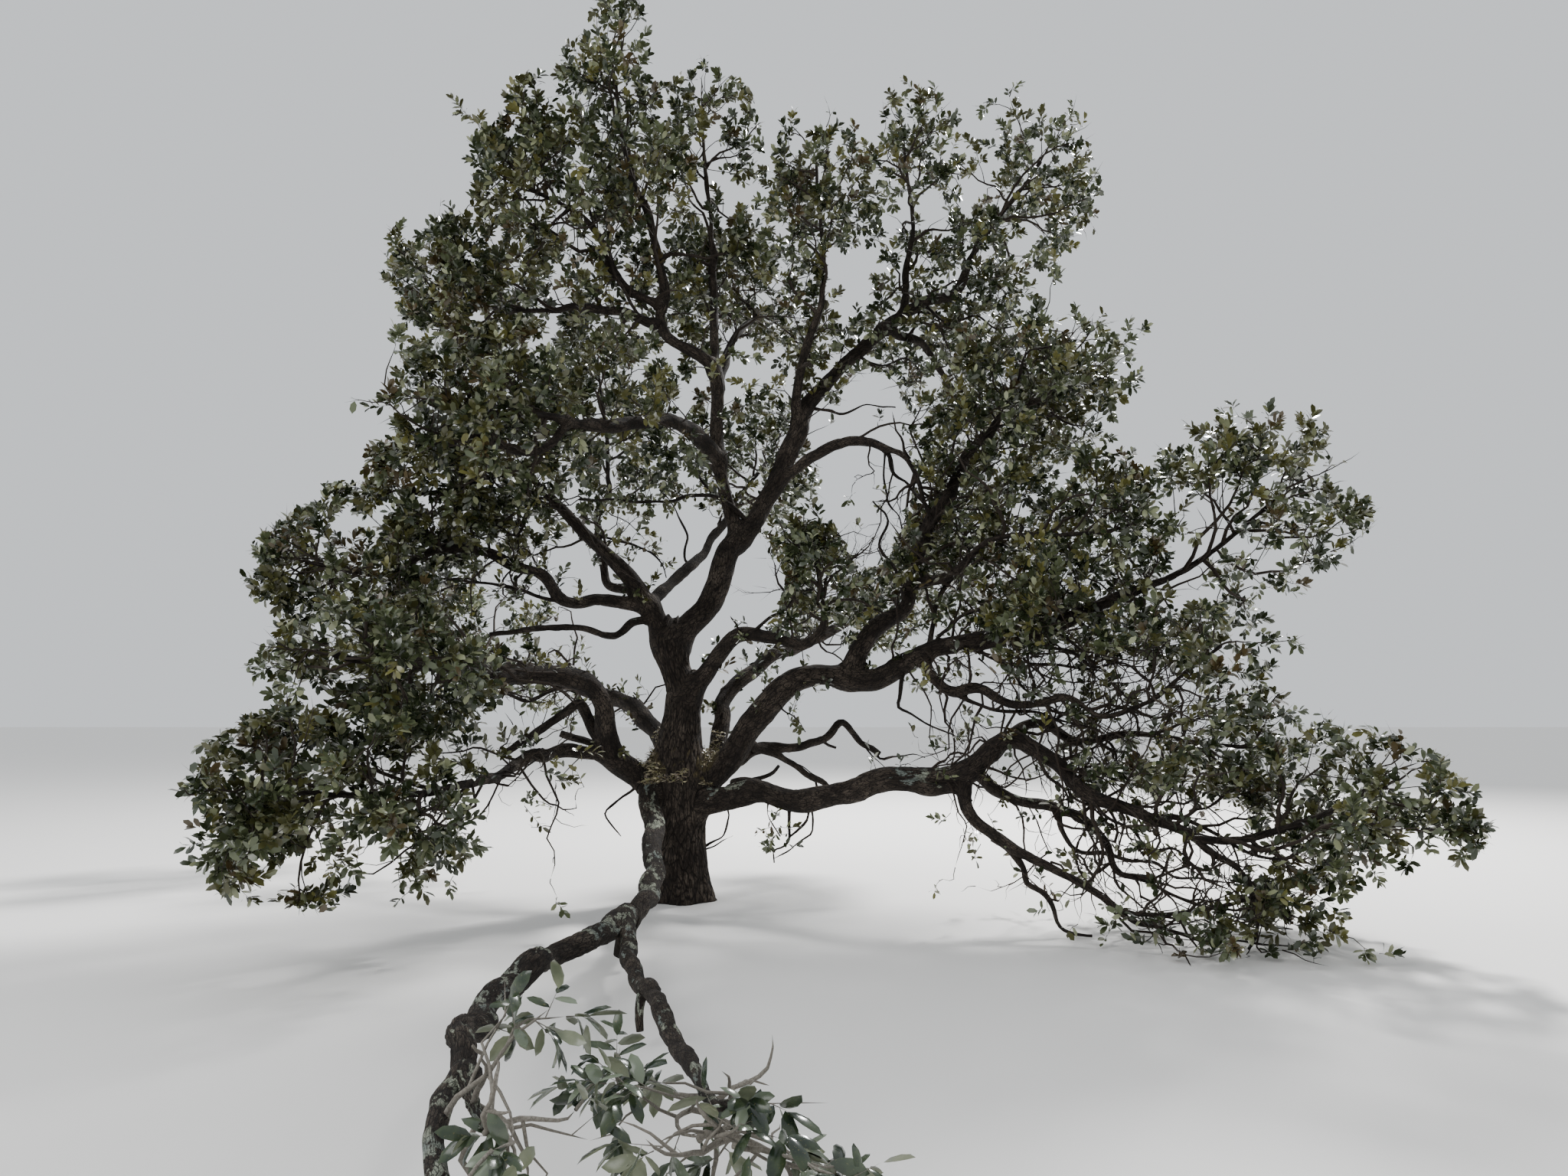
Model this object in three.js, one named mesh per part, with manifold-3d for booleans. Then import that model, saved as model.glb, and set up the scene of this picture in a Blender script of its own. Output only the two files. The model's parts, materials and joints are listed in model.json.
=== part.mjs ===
// A live oak: a short trunk that forks low and again at head height, long crooked boughs
// that reach out near the ground, and an open evergreen crown of separate leaf masses.
// Millimetres, +Z up. The origin is the middle of the flat cut at ground level. Seen from
// the front the view runs along +Y, with +X to the right.

import * as THREE from "three";
import { mergeVertices } from "three/addons/utils/BufferGeometryUtils.js";
import Module from "manifold-3d";

const wasm = await Module();
wasm.setup();

// Clear gap that every piece keeps to the piece it grows from. The copies that cut it are
// a little wider still, because a flat side lies nearer the middle than its corners do.
const GAP = 0.3;
const CUTTER_MARGIN = 1.2 * GAP;

// The trunk leans a little and leads straight up to its fork: the middle and the radius
// at each height, and the spread of the root flare
const TRUNK_STATIONS = [
  { height: 0, x: 0, y: 0, radius: 235 },
  { height: 360, x: -10, y: 0, radius: 226 },
  { height: 750, x: -10, y: 0, radius: 213 },
  { height: 1080, x: -30, y: 0, radius: 227 },
  { height: 1410, x: -25, y: 5, radius: 190 },
  { height: 1760, x: 0, y: 5, radius: 148 },
  { height: 1990, x: -70, y: 5, radius: 141 },
  { height: 2210, x: -120, y: 0, radius: 135 },
];
const TRUNK_SIDES = 16;
const TRUNK_RINGS = 11;
const TRUNK_RING_CROWDING = 1.25;
const FLARE_SPREAD = 0.32;
const FLARE_HEIGHT = 170;
const FLARE_ROOTS = 5;
const FLARE_TURN = 0.8;
const FLARE_HOLLOW = 0.4;

// Limbs are rings of a few sides at even steps, and a thick limb has more sides
const THICK_LIMB_RADIUS = 75;
const THICK_LIMB_SIDES = 8;
const THIN_LIMB_SIDES = 6;
const RING_STEP = 330;
const FEWEST_STEPS = 4;
const COLLAR_SWELL = 0.16;
const TAPER_POWER = 0.85;

// The stem of a mass runs on from its bough, and bends to a point past the middle
const STEM_BASE_SHARE = 0.8;
const STEM_TIP_RADIUS = 12;
const STEM_BEND = 0.4;
const STEM_RISE = 0.3;
const STEM_REACH = 0.5;

// Twigs are three-sided and leave the stem at even steps, turned by the golden angle
const TWIG_SIDES = 3;
const TWIGS_IN_MASS = 6;
const FIRST_TWIG = 0.12;
const TWIG_TILT = THREE.MathUtils.degToRad(62);
const TWIG_TILT_SPREAD = 0.4;
const GOLDEN_ANGLE = THREE.MathUtils.degToRad(137.5);
const TWIG_BASE_RADIUS = 22;
const TWIG_TIP_RADIUS = 13;
const SHORTEST_TWIG = 0.25;

// Each leaf stands for a spray of real ones. One that doesn't fit is tried smaller, and
// is then skipped.
const LEAF_SHARE_OF_REACH = 0.62;
const LEAF_SIZE_SPREAD = 0.2;
const LEAF_WIDEST = 0.46;
const LEAF_WIDTH = 0.64;
const LEAF_THICKNESS = 0.045;
const LEAF_ROOT_SUNK = 4;
const LEAF_SPREAD = THREE.MathUtils.degToRad(52);
const LEAF_TIP_OVER = 4;
const LEAF_STEPS = [1, 0.66, 0.34];
const LEAF_TRIALS = [1, 0.82, 0.66];
const LEAVES_APART = 0.45;
const LAST_LEAF_SHORT_OF_TIP = 0.98;

// Clearances that twigs and leaves keep
const CLEAR_OF_LIMBS = 34;
const CLEAR_OF_GROUND = 12;
const SPACE_MARGIN = 0.035;
const LIMB_SAMPLE_STEP = 60;
const PROBE_STEP = 40;
const NEAR_ITS_STEM = 80;
const LONGEST_TWIG = 2000;
const SMALLEST_EDGE = 0.04;

// Each bough leaves its parent at a share of the parent's length and passes through its
// bends to its tip, with a radius at its base and at its tip. Its mass of leaves grows on
// from the tip and fills a space with a middle and a reach to each side, before and above.
const BOUGHS = [
  {
    name: "right_leader", from: "trunk", at: 0.99, base: 108, tip: 39,
    bends: [[70, 20, 2390], [300, 50, 2690], [410, 100, 3010], [720, 220, 3430],
      [900, 350, 3850], [1100, 500, 4420], [1860, 750, 5350], [2650, 1000, 5870],
      [2780, 1050, 6200]],
    mass: { name: "foliage_right_top", middle: [3270, 1100, 6800], reach: [840, 1190, 1190] },
  },
  {
    name: "left_leader", from: "trunk", at: 0.99, base: 95, tip: 32,
    bends: [[-230, -20, 2350], [-330, -60, 2530], [-510, -150, 2820], [-900, -400, 3190],
      [-1190, -700, 3530]],
    mass: { name: "foliage_left_middle", middle: [-1700, -1000, 3330], reach: [900, 1030, 600] },
  },
  {
    name: "long_left_arm", from: "left_leader", at: 0.21, base: 61, tip: 27,
    bends: [[-670, -200, 2570], [-970, -400, 2570], [-1200, -600, 2780],
      [-1890, -1000, 2900], [-2160, -1150, 2700]],
    mass: { name: "foliage_left_outer", middle: [-2450, -1300, 2670], reach: [700, 1030, 700] },
  },
  {
    name: "left_upright", from: "left_leader", at: 0.3, base: 42, tip: 28,
    bends: [[-670, 0, 2730], [-740, 60, 2940], [-810, 300, 3200], [-850, 1000, 3950]],
    mass: { name: "foliage_back_left_high", middle: [-1000, 1400, 4790], reach: [810, 1130, 1070] },
  },
  {
    name: "inner_back_limb", from: "left_leader", at: 0.21, base: 54, tip: 34,
    bends: [[-210, 200, 2720], [-50, 500, 2930], [100, 850, 3130], [360, 1600, 3750]],
    mass: { name: "foliage_back_middle", middle: [665, 2100, 4220], reach: [750, 1080, 770] },
  },
  {
    name: "top_leader", from: "right_leader", at: 0.225, base: 69, tip: 30,
    bends: [[380, 100, 3500], [300, 0, 3870], [240, -100, 4650], [-210, -250, 4980],
      [-170, -300, 5360], [-390, -400, 6160], [-450, -400, 6300]],
    mass: { name: "foliage_top", middle: [-570, -450, 6880], reach: [700, 860, 1100] },
  },
  {
    name: "heavy_front_limb", from: "top_leader", at: 0.214, base: 68, tip: 45,
    bends: [[110, -500, 4010], [-130, -1000, 3970], [-430, -1500, 3790], [-690, -1900, 3730]],
    mass: { name: "foliage_front_left", middle: [-1020, -2300, 3620], reach: [780, 920, 690] },
  },
  {
    name: "top_middle_limb", from: "top_leader", at: 0.44, base: 46, tip: 29,
    bends: [[270, 50, 5090], [220, 100, 5700], [210, 120, 6080]],
    mass: { name: "foliage_top_middle", middle: [150, 100, 6700], reach: [600, 920, 970] },
  },
  {
    name: "middle_back_limb", from: "top_leader", at: 0.4, base: 41, tip: 30,
    bends: [[390, 300, 5020], [600, 750, 5450]],
    mass: { name: "foliage_back_high", middle: [440, 1400, 5810], reach: [1000, 1080, 950] },
  },
  {
    name: "upper_left_arm", from: "top_leader", at: 0.62, base: 42, tip: 28,
    bends: [[-640, -250, 5160], [-860, -200, 5200], [-1300, -100, 5220]],
    mass: { name: "foliage_left_high", middle: [-1930, 100, 5290], reach: [1030, 1240, 1180] },
  },
  {
    name: "top_left_limb", from: "top_leader", at: 0.67, base: 40, tip: 28,
    bends: [[-580, -400, 5400], [-720, -500, 5680], [-800, -550, 5830]],
    mass: { name: "foliage_top_left", middle: [-1120, -750, 5915], reach: [660, 920, 1080] },
  },
  {
    name: "arching_limb", from: "right_leader", at: 0.357, base: 50, tip: 34,
    bends: [[1150, 150, 3910], [1350, 50, 3990], [1620, -50, 3990], [1880, -150, 3900]],
    mass: { name: "foliage_under_arch", middle: [2060, -300, 3430], reach: [460, 700, 580] },
  },
  {
    name: "upper_middle_limb", from: "right_leader", at: 0.47, base: 51, tip: 28,
    bends: [[1000, 300, 4480], [1040, 150, 4770], [1230, -100, 5260], [1250, -150, 5450]],
    mass: { name: "foliage_middle_top", middle: [1200, -300, 6050], reach: [590, 920, 970] },
  },
  {
    name: "back_right_limb", from: "right_leader", at: 0.74, base: 44, tip: 30,
    bends: [[2300, 1200, 5300], [2600, 1500, 5050]],
    mass: { name: "foliage_back_right_high", middle: [3100, 2000, 4700], reach: [970, 1190, 1030] },
  },
  {
    name: "top_right_limb", from: "right_leader", at: 0.79, base: 38, tip: 30,
    bends: [[2080, 700, 5860], [2130, 600, 6170]],
    mass: { name: "foliage_top_right", middle: [2080, 550, 6800], reach: [600, 920, 920] },
  },
  {
    name: "great_right_arch", from: "trunk", at: 0.43, base: 120, tip: 38,
    bends: [[260, 0, 1060], [480, -50, 1240], [660, -150, 1580], [860, -250, 1800],
      [1120, -350, 1930], [1540, -500, 1890], [2150, -750, 2110], [2850, -1000, 2260],
      [3850, -1150, 2620]],
    mass: { name: "foliage_far_right", middle: [4480, -1200, 3010], reach: [930, 1190, 1080] },
  },
  {
    name: "right_upright", from: "great_right_arch", at: 0.418, base: 77, tip: 38,
    bends: [[1550, -500, 2150], [1930, -450, 2560], [1990, -400, 2840], [2350, -200, 3570],
      [2750, -50, 4150]],
    mass: { name: "foliage_right_high", middle: [3130, 0, 4500], reach: [990, 1080, 890] },
  },
  {
    name: "right_side_limb", from: "right_upright", at: 0.36, base: 40, tip: 31,
    bends: [[2270, -700, 2780], [2500, -950, 2950]],
    mass: { name: "foliage_right_middle", middle: [3120, -1200, 2920], reach: [950, 1080, 790] },
  },
  {
    name: "lower_arch_limb", from: "great_right_arch", at: 0.565, base: 44, tip: 26,
    bends: [[2230, -850, 1780], [2460, -1000, 1790], [2720, -1200, 1650],
      [3030, -1400, 1720], [3180, -1500, 1600]],
    mass: { name: "foliage_right_low", middle: [3780, -1700, 1870], reach: [910, 970, 570] },
  },
  {
    name: "low_right_bough", from: "trunk", at: 0.35, base: 104, tip: 37,
    bends: [[310, -200, 870], [640, -350, 920], [1050, -500, 880], [1660, -800, 1080],
      [2310, -1050, 1140], [2670, -1200, 1380], [2910, -1350, 1250], [3140, -1500, 1020],
      [3740, -2000, 760]],
    mass: { name: "foliage_right_skirt_front", middle: [4560, -2200, 925], reach: [970, 1080, 650] },
  },
  {
    name: "right_skirt_limb", from: "low_right_bough", at: 0.62, base: 46, tip: 30,
    bends: [[2760, -1000, 1470], [2960, -950, 1490], [3190, -950, 1380], [3460, -1000, 1420]],
    mass: { name: "foliage_right_skirt_back", middle: [4330, -1000, 1280], reach: [1030, 970, 570] },
  },
  {
    name: "drop_limb", from: "low_right_bough", at: 0.57, base: 54, tip: 22,
    bends: [[2290, -1120, 900], [2440, -1250, 720], [2640, -1400, 600], [2940, -1600, 440],
      [3200, -1850, 260]],
    mass: { name: "foliage_right_ground", middle: [3780, -2200, 300], reach: [760, 810, 320] },
  },
  {
    name: "upper_right_bough", from: "trunk", at: 0.77, base: 88, tip: 36,
    bends: [[210, -150, 1960], [370, -300, 2130], [630, -500, 2250], [1050, -700, 2160],
      [1180, -800, 2260]],
    mass: { name: "foliage_inner_right", middle: [1160, -900, 2650], reach: [770, 860, 520] },
  },
  {
    name: "back_right_bough", from: "trunk", at: 0.485, base: 88, tip: 40,
    bends: [[250, 160, 1180], [350, 350, 1480], [340, 500, 1680], [480, 700, 1900],
      [990, 1200, 2230], [1500, 1750, 2520]],
    mass: { name: "foliage_back_right", middle: [2100, 2200, 2970], reach: [1080, 1190, 780] },
  },
  {
    name: "back_left_bough", from: "trunk", at: 0.516, base: 92, tip: 42,
    bends: [[-180, 260, 1300], [-480, 650, 1620], [-1000, 1150, 1830], [-1600, 1600, 1960],
      [-2150, 1950, 2130]],
    mass: { name: "foliage_back_left", middle: [-2900, 2400, 2300], reach: [1030, 1190, 860] },
  },
  {
    name: "left_bough", from: "trunk", at: 0.417, base: 113, tip: 42,
    bends: [[-380, -150, 1070], [-540, -300, 1220], [-580, -450, 1420], [-600, -600, 1680],
      [-710, -750, 1840], [-1200, -1300, 1890], [-1400, -1900, 1930]],
    mass: { name: "foliage_left_skirt_high", middle: [-1700, -2600, 1860], reach: [860, 1080, 540] },
  },
  {
    name: "left_low_arm", from: "left_bough", at: 0.235, base: 60, tip: 32,
    bends: [[-760, -500, 1280], [-970, -800, 1290], [-1190, -1700, 1150], [-1350, -2200, 1100]],
    mass: { name: "foliage_left_skirt_low", middle: [-1900, -2900, 1050], reach: [1130, 1080, 650] },
  },
  {
    name: "front_limb", from: "trunk", at: 0.404, base: 98, tip: 30,
    bends: [[-250, -250, 920], [-220, -500, 730], [-140, -1000, 540], [-100, -1700, 340],
      [-110, -2400, 280], [-300, -3700, 310], [-350, -4600, 350], [-300, -5500, 400],
      [-120, -6250, 450]],
    mass: { name: "foliage_front_tip", middle: [50, -6750, 470], reach: [500, 650, 300] },
  },
  {
    name: "front_fork_limb", from: "front_limb", at: 0.428, base: 50, tip: 30,
    bends: [[10, -3400, 230], [240, -4300, 260], [450, -5300, 325], [600, -6000, 380]],
    mass: { name: "foliage_front_fork", middle: [700, -6500, 430], reach: [620, 700, 300] },
  },
  {
    name: "dead_crooked_limb", from: "great_right_arch", at: 0.11, base: 50, tip: 20,
    bends: [[720, 100, 1310], [1070, 200, 1320], [1280, 300, 1370], [1410, 350, 1500],
      [1590, 400, 1350], [1770, 450, 1240]],
  },
];

// Colours read from the photograph
const BARK = { color: "#463d35", roughness: 0.92, metalness: 0 };
const FOLIAGE = { color: "#5d6b3f", roughness: 0.6, metalness: 0 };

const vector = (place) => new THREE.Vector3(...place);
const SIDEWAYS_HINT = new THREE.Vector3(0.3, 0.2, 1);

// Even random numbers from 0 to 1, the same on each run
function seededRandom(seed) {
  let state = seed * 2654435761;
  return () => {
    state = (state + 0x6d2b79f5) | 0;
    let mixed = Math.imul(state ^ (state >>> 15), 1 | state);
    mixed = (mixed + Math.imul(mixed ^ (mixed >>> 7), 61 | mixed)) ^ mixed;
    return ((mixed ^ (mixed >>> 14)) >>> 0) / 4294967296;
  };
}

// Two directions square to a given one, for the sides of a limb or a leaf
function squareTo(direction, hint) {
  const side = hint.clone().addScaledVector(direction, -hint.dot(direction)).normalize();
  return { side, up: new THREE.Vector3().crossVectors(direction, side) };
}

// A closed solid from rings of equally many points, with flat ends
function solidFromRings(rings) {
  const sides = rings[0].length;
  const positions = rings.flat().flatMap((point) => point.toArray());
  const triangles = [];
  for (let ring = 0; ring < rings.length - 1; ring++) {
    for (let i = 0; i < sides; i++) {
      const a = ring * sides + i;
      const b = ring * sides + ((i + 1) % sides);
      triangles.push(a, b, b + sides, a, b + sides, a + sides);
    }
  }
  const last = (rings.length - 1) * sides;
  for (let i = 1; i < sides - 1; i++) {
    triangles.push(0, i + 1, i, last, last + i, last + i + 1);
  }
  return new wasm.Manifold(new wasm.Mesh({
    numProp: 3,
    vertProperties: new Float32Array(positions),
    triVerts: new Uint32Array(triangles),
  }));
}

// A tapering limb along a curve. Its rings turn with the curve, and a further length at
// each end, along the curve's own direction, makes the larger copy that cuts its neighbours.
function sweep(curve, sides, steps, radiusAt, further = 0) {
  let { side } = squareTo(curve.getTangentAt(0), SIDEWAYS_HINT);
  const rings = [];
  for (let step = 0; step <= steps; step++) {
    const share = step / steps;
    const along = curve.getTangentAt(share);
    const frame = squareTo(along, side);
    side = frame.side;
    const middle = curve.getPointAt(share);
    if (step === 0) middle.addScaledVector(along, -further);
    if (step === steps) middle.addScaledVector(along, further);
    const radius = radiusAt(share);
    rings.push(Array.from({ length: sides }, (_, i) => {
      const turn = (i / sides) * 2 * Math.PI;
      return middle.clone()
        .addScaledVector(frame.side, radius * Math.cos(turn))
        .addScaledVector(frame.up, radius * Math.sin(turn));
    }));
  }
  return solidFromRings(rings);
}

// The largest piece of a cut or joined solid, which drops scraps and sealed hollows
function largestPiece(solid) {
  return solid.decompose().reduce((best, piece) => (
    !best || piece.volume() > best.volume() ? piece : best), null);
}

// The trunk's rings lie level, so its foot is one flat cut at ground level
const trunkCurve = new THREE.CatmullRomCurve3(
  TRUNK_STATIONS.map(({ x, y, height }) => new THREE.Vector3(x, y, height)));
const trunkGirth = new THREE.CatmullRomCurve3(
  TRUNK_STATIONS.map(({ radius }) => new THREE.Vector3(radius, 0, 0)));
const trunkRadiusAt = (share) => trunkGirth.getPoint(share).x;

function trunkSolid(wider) {
  const rings = [];
  for (let step = 0; step <= TRUNK_RINGS; step++) {
    const share = (step / TRUNK_RINGS) ** TRUNK_RING_CROWDING;
    const middle = trunkCurve.getPoint(share);
    const flare = FLARE_SPREAD * Math.exp(-middle.z / FLARE_HEIGHT);
    if (step === TRUNK_RINGS) middle.z += wider;
    rings.push(Array.from({ length: TRUNK_SIDES }, (_, i) => {
      const turn = (i / TRUNK_SIDES) * 2 * Math.PI;
      const root = 1 - FLARE_HOLLOW * (1 - Math.cos(FLARE_ROOTS * turn + FLARE_TURN));
      const radius = trunkRadiusAt(share) * (1 + flare * root) + wider;
      return new THREE.Vector3(Math.cos(turn), Math.sin(turn), 0)
        .multiplyScalar(radius).add(middle);
    }));
  }
  return solidFromRings(rings);
}

const meshes = [];
function addMesh(name, solid, place, { color, roughness, metalness }) {
  const { vertProperties, triVerts } = solid.getMesh();
  let geometry = new THREE.BufferGeometry();
  geometry.setAttribute("position", new THREE.BufferAttribute(vertProperties, 3));
  geometry.setIndex(new THREE.BufferAttribute(triVerts, 1));
  geometry = mergeVertices(geometry);
  geometry.computeVertexNormals();
  const material = new THREE.MeshStandardMaterial({ color, roughness, metalness });
  const mesh = new THREE.Mesh(geometry, material);
  mesh.name = name;
  mesh.position.copy(place);
  meshes.push(mesh);
}

// Every limb that later ones are cut clear of: its curve, its radius and its larger copy
const limbs = new Map();
const origin = new THREE.Vector3();
limbs.set("trunk", {
  curve: trunkCurve,
  radiusAt: (share) => trunkRadiusAt(trunkCurve.getUtoTmapping(share)),
  larger: trunkSolid(CUTTER_MARGIN),
});
addMesh("trunk", trunkSolid(0), origin, BARK);

// A bough tapers from the collar at its parent to its tip, and is cut clear of the limbs
// made before it
function addBough({ name, from, at, base, tip, bends }) {
  const start = limbs.get(from).curve.getPointAt(at);
  const curve = new THREE.CatmullRomCurve3(
    [start, ...bends.map(vector)], false, "centripetal");
  const length = curve.getLength();
  const radiusAt = (share) => {
    const collar = 1 + COLLAR_SWELL * Math.exp((-share * length) / (2 * base));
    return (tip + (base - tip) * (1 - share) ** TAPER_POWER) * collar;
  };
  const sides = base > THICK_LIMB_RADIUS ? THICK_LIMB_SIDES : THIN_LIMB_SIDES;
  const steps = Math.max(FEWEST_STEPS, Math.round(length / RING_STEP));
  let solid = sweep(curve, sides, steps, radiusAt);
  for (const earlier of limbs.values()) solid = solid.subtract(earlier.larger);
  solid = largestPiece(solid).simplify(SMALLEST_EDGE);
  addMesh(name, solid, origin, BARK);
  const widerAt = (share) => radiusAt(share) + CUTTER_MARGIN;
  limbs.set(name, {
    curve, radiusAt, larger: sweep(curve, sides, steps, widerAt, GAP),
  });
}
BOUGHS.forEach(addBough);

// How far out a point lies in a mass's space: 0 in the middle and 1 at its edge
function depthIn({ middle, reach }, point) {
  return Math.hypot(...["x", "y", "z"].map((axis, i) => (point[axis] - middle[i]) / reach[i]));
}

const masses = BOUGHS.filter((bough) => bough.mass).map((bough, index) => (
  { ...bough.mass, bough, seed: index + 11 }));

// A point is in a mass's own space where it lies above the ground, inside the space's
// edge and deeper in this space than in any other
function isInOwnSpace(mass, point) {
  const depth = depthIn(mass, point);
  if (depth > 1 || point.z < CLEAR_OF_GROUND) return false;
  return masses.every((other) => (
    other === mass || depthIn(other, point) > depth + SPACE_MARGIN));
}

// Samples along each limb and stem, which keep twigs and leaves off them
const obstacles = [];
function addObstacle(owner, curve, radiusAt) {
  const steps = Math.ceil(curve.getLength() / LIMB_SAMPLE_STEP);
  for (let step = 0; step <= steps; step++) {
    const share = step / steps;
    obstacles.push({ owner, place: curve.getPointAt(share), radius: radiusAt(share) });
  }
}
for (const [name, { curve, radiusAt }] of limbs) addObstacle(name, curve, radiusAt);

function isClearOfLimbs(mass, point) {
  return obstacles.every(({ owner, place, radius }) => (
    owner === mass.name || place.distanceTo(point) > radius + CLEAR_OF_LIMBS));
}

const isFree = (mass, point) => isInOwnSpace(mass, point) && isClearOfLimbs(mass, point);

// The stem runs on from the tip of its bough, bends to the middle of the space and ends
// near the far side
function stemOf(mass) {
  const { curve, radiusAt } = limbs.get(mass.bough.name);
  const along = curve.getTangentAt(1);
  const start = curve.getPointAt(1).addScaledVector(along, GAP);
  const middle = vector(mass.middle);
  const inward = middle.clone().sub(start);
  const far = inward.clone().add(new THREE.Vector3(0, 0, STEM_RISE * inward.length()));
  const farDepth = depthIn(mass, middle.clone().add(far));
  const end = middle.clone().addScaledVector(far, STEM_REACH / farDepth);
  const bend = start.clone().addScaledVector(along, STEM_BEND * inward.length());
  const path = new THREE.CubicBezierCurve3(start, bend, middle, end);
  const base = STEM_BASE_SHARE * radiusAt(1);
  const stemRadiusAt = (share) => base + (STEM_TIP_RADIUS - base) * share;
  return { path, radiusAt: stemRadiusAt };
}
for (const mass of masses) {
  mass.stem = stemOf(mass);
  addObstacle(mass.name, mass.stem.path, mass.stem.radiusAt);
}

// A leaf is a flat kite of eight faces, widest before its middle, its root sunk in its twig
function leafPoints(root, along, side, length) {
  const face = new THREE.Vector3().crossVectors(along, side);
  const widest = root.clone().addScaledVector(along, LEAF_WIDEST * length);
  const half = 0.5 * LEAF_WIDTH * length;
  const thick = 0.5 * LEAF_THICKNESS * length;
  return {
    root: root.clone().addScaledVector(along, -LEAF_ROOT_SUNK),
    tip: root.clone().addScaledVector(along, length),
    rim: [[half, 0], [0, thick], [-half, 0], [0, -thick]].map(([across, lift]) => (
      widest.clone().addScaledVector(side, across).addScaledVector(face, lift))),
  };
}

function leafSolid({ root, tip, rim }) {
  const positions = [root, ...rim, tip].flatMap((point) => point.toArray());
  const triangles = [];
  for (let i = 0; i < 4; i++) {
    const a = 1 + i;
    const b = 1 + ((i + 1) % 4);
    triangles.push(0, b, a, 5, a, b);
  }
  return new wasm.Manifold(new wasm.Mesh({
    numProp: 3,
    vertProperties: new Float32Array(positions),
    triVerts: new Uint32Array(triangles),
  }));
}

// How far a straight twig can run from a point before it leaves its space or meets a limb
function freeLength(mass, from, direction) {
  const probe = from.clone();
  let length = 0;
  while (length < LONGEST_TWIG) {
    probe.addScaledVector(direction, PROBE_STEP);
    if (!isInOwnSpace(mass, probe)) break;
    if (length > NEAR_ITS_STEM && !isClearOfLimbs(mass, probe)) break;
    length += PROBE_STEP;
  }
  return length;
}

// A mass grows by one rule: twigs leave the stem, each turned on from the last, and carry
// leaves to their tips. The last twig runs straight on from the stem.
function growMass(mass) {
  const random = seededRandom(mass.seed);
  const { path, radiusAt } = mass.stem;
  const place = path.getPoint(0);
  const local = (points) => points.map((point) => point.clone().sub(place));
  const leafLength = LEAF_SHARE_OF_REACH * (mass.reach[0] + mass.reach[1] + mass.reach[2]) / 3;
  const leafMiddles = [];

  const stem = new THREE.CubicBezierCurve3(...local([path.v0, path.v1, path.v2, path.v3]));
  const pieces = [sweep(stem, TWIG_SIDES, FEWEST_STEPS, radiusAt)];

  const middleOf = ({ rim: [left, , right] }) => left.clone().lerp(right, 0.5);
  const fits = (leaf) => {
    const middle = middleOf(leaf);
    const across = [leaf.rim[0], middle, leaf.rim[2]];
    const halfway = [leaf.tip, leaf.root].flatMap((end) => (
      across.map((point) => point.clone().lerp(end, 0.5))));
    return [leaf.tip, ...across, ...halfway].every((point) => isFree(mass, point))
      && leafMiddles.every((other) => other.distanceTo(middle) > LEAVES_APART * leafLength);
  };

  const addLeaf = (from, direction, tilt) => {
    const facing = new THREE.Vector3(
      LEAF_TIP_OVER * (random() - 0.5), LEAF_TIP_OVER * (random() - 0.5), 1);
    const level = new THREE.Vector3().crossVectors(direction, facing).normalize();
    const along = direction.clone().multiplyScalar(Math.cos(tilt))
      .addScaledVector(level, Math.sin(tilt)).normalize();
    const { side } = squareTo(along, new THREE.Vector3().crossVectors(along, facing));
    const length = leafLength * (1 + LEAF_SIZE_SPREAD * (random() - 0.5));
    const leaf = LEAF_TRIALS
      .map((share) => leafPoints(from, along, side, share * length)).find(fits);
    if (!leaf) return;
    leafMiddles.push(middleOf(leaf));
    const [root, tip, ...rim] = local([leaf.root, leaf.tip, ...leaf.rim]);
    pieces.push(leafSolid({ root, tip, rim }));
  };

  let around = random() * 2 * Math.PI;
  for (let twig = 1; twig <= TWIGS_IN_MASS; twig++) {
    const share = FIRST_TWIG + ((1 - FIRST_TWIG) * twig) / TWIGS_IN_MASS;
    const from = path.getPointAt(share);
    const along = path.getTangentAt(share);
    const { side, up } = squareTo(along, SIDEWAYS_HINT);
    around += GOLDEN_ANGLE;
    const isLast = twig === TWIGS_IN_MASS;
    const tilt = isLast ? 0 : TWIG_TILT * (1 + TWIG_TILT_SPREAD * (random() - 0.5));
    const direction = along.clone().multiplyScalar(Math.cos(tilt))
      .addScaledVector(side, Math.sin(tilt) * Math.cos(around))
      .addScaledVector(up, Math.sin(tilt) * Math.sin(around));
    const room = freeLength(mass, from, direction) - leafLength;
    const length = room > SHORTEST_TWIG * leafLength ? room : 0;
    if (length > 0) {
      const start = from.clone().sub(place);
      const line = new THREE.LineCurve3(start, start.clone().addScaledVector(direction, length));
      const base = Math.min(TWIG_BASE_RADIUS, STEM_BASE_SHARE * radiusAt(share));
      pieces.push(sweep(line, TWIG_SIDES, 1, (at) => base + (TWIG_TIP_RADIUS - base) * at));
    }
    const leafRun = LAST_LEAF_SHORT_OF_TIP * length;
    const leafPlace = (step) => from.clone().addScaledVector(direction, leafRun * step);
    addLeaf(leafPlace(1), direction, 0);
    LEAF_STEPS.forEach((step, i) => {
      addLeaf(leafPlace(step), direction, (i % 2 ? -1 : 1) * LEAF_SPREAD);
    });
  }
  const whole = pieces.reduce((joined, piece) => joined.add(piece));
  addMesh(mass.name, largestPiece(whole).simplify(SMALLEST_EDGE), place, FOLIAGE);
}
masses.forEach(growMass);

const tree = new THREE.Group();
tree.add(...meshes);

export default tree;
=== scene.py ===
import json
import math

import bpy
import numpy as np
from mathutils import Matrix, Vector
from mathutils.kdtree import KDTree

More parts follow.
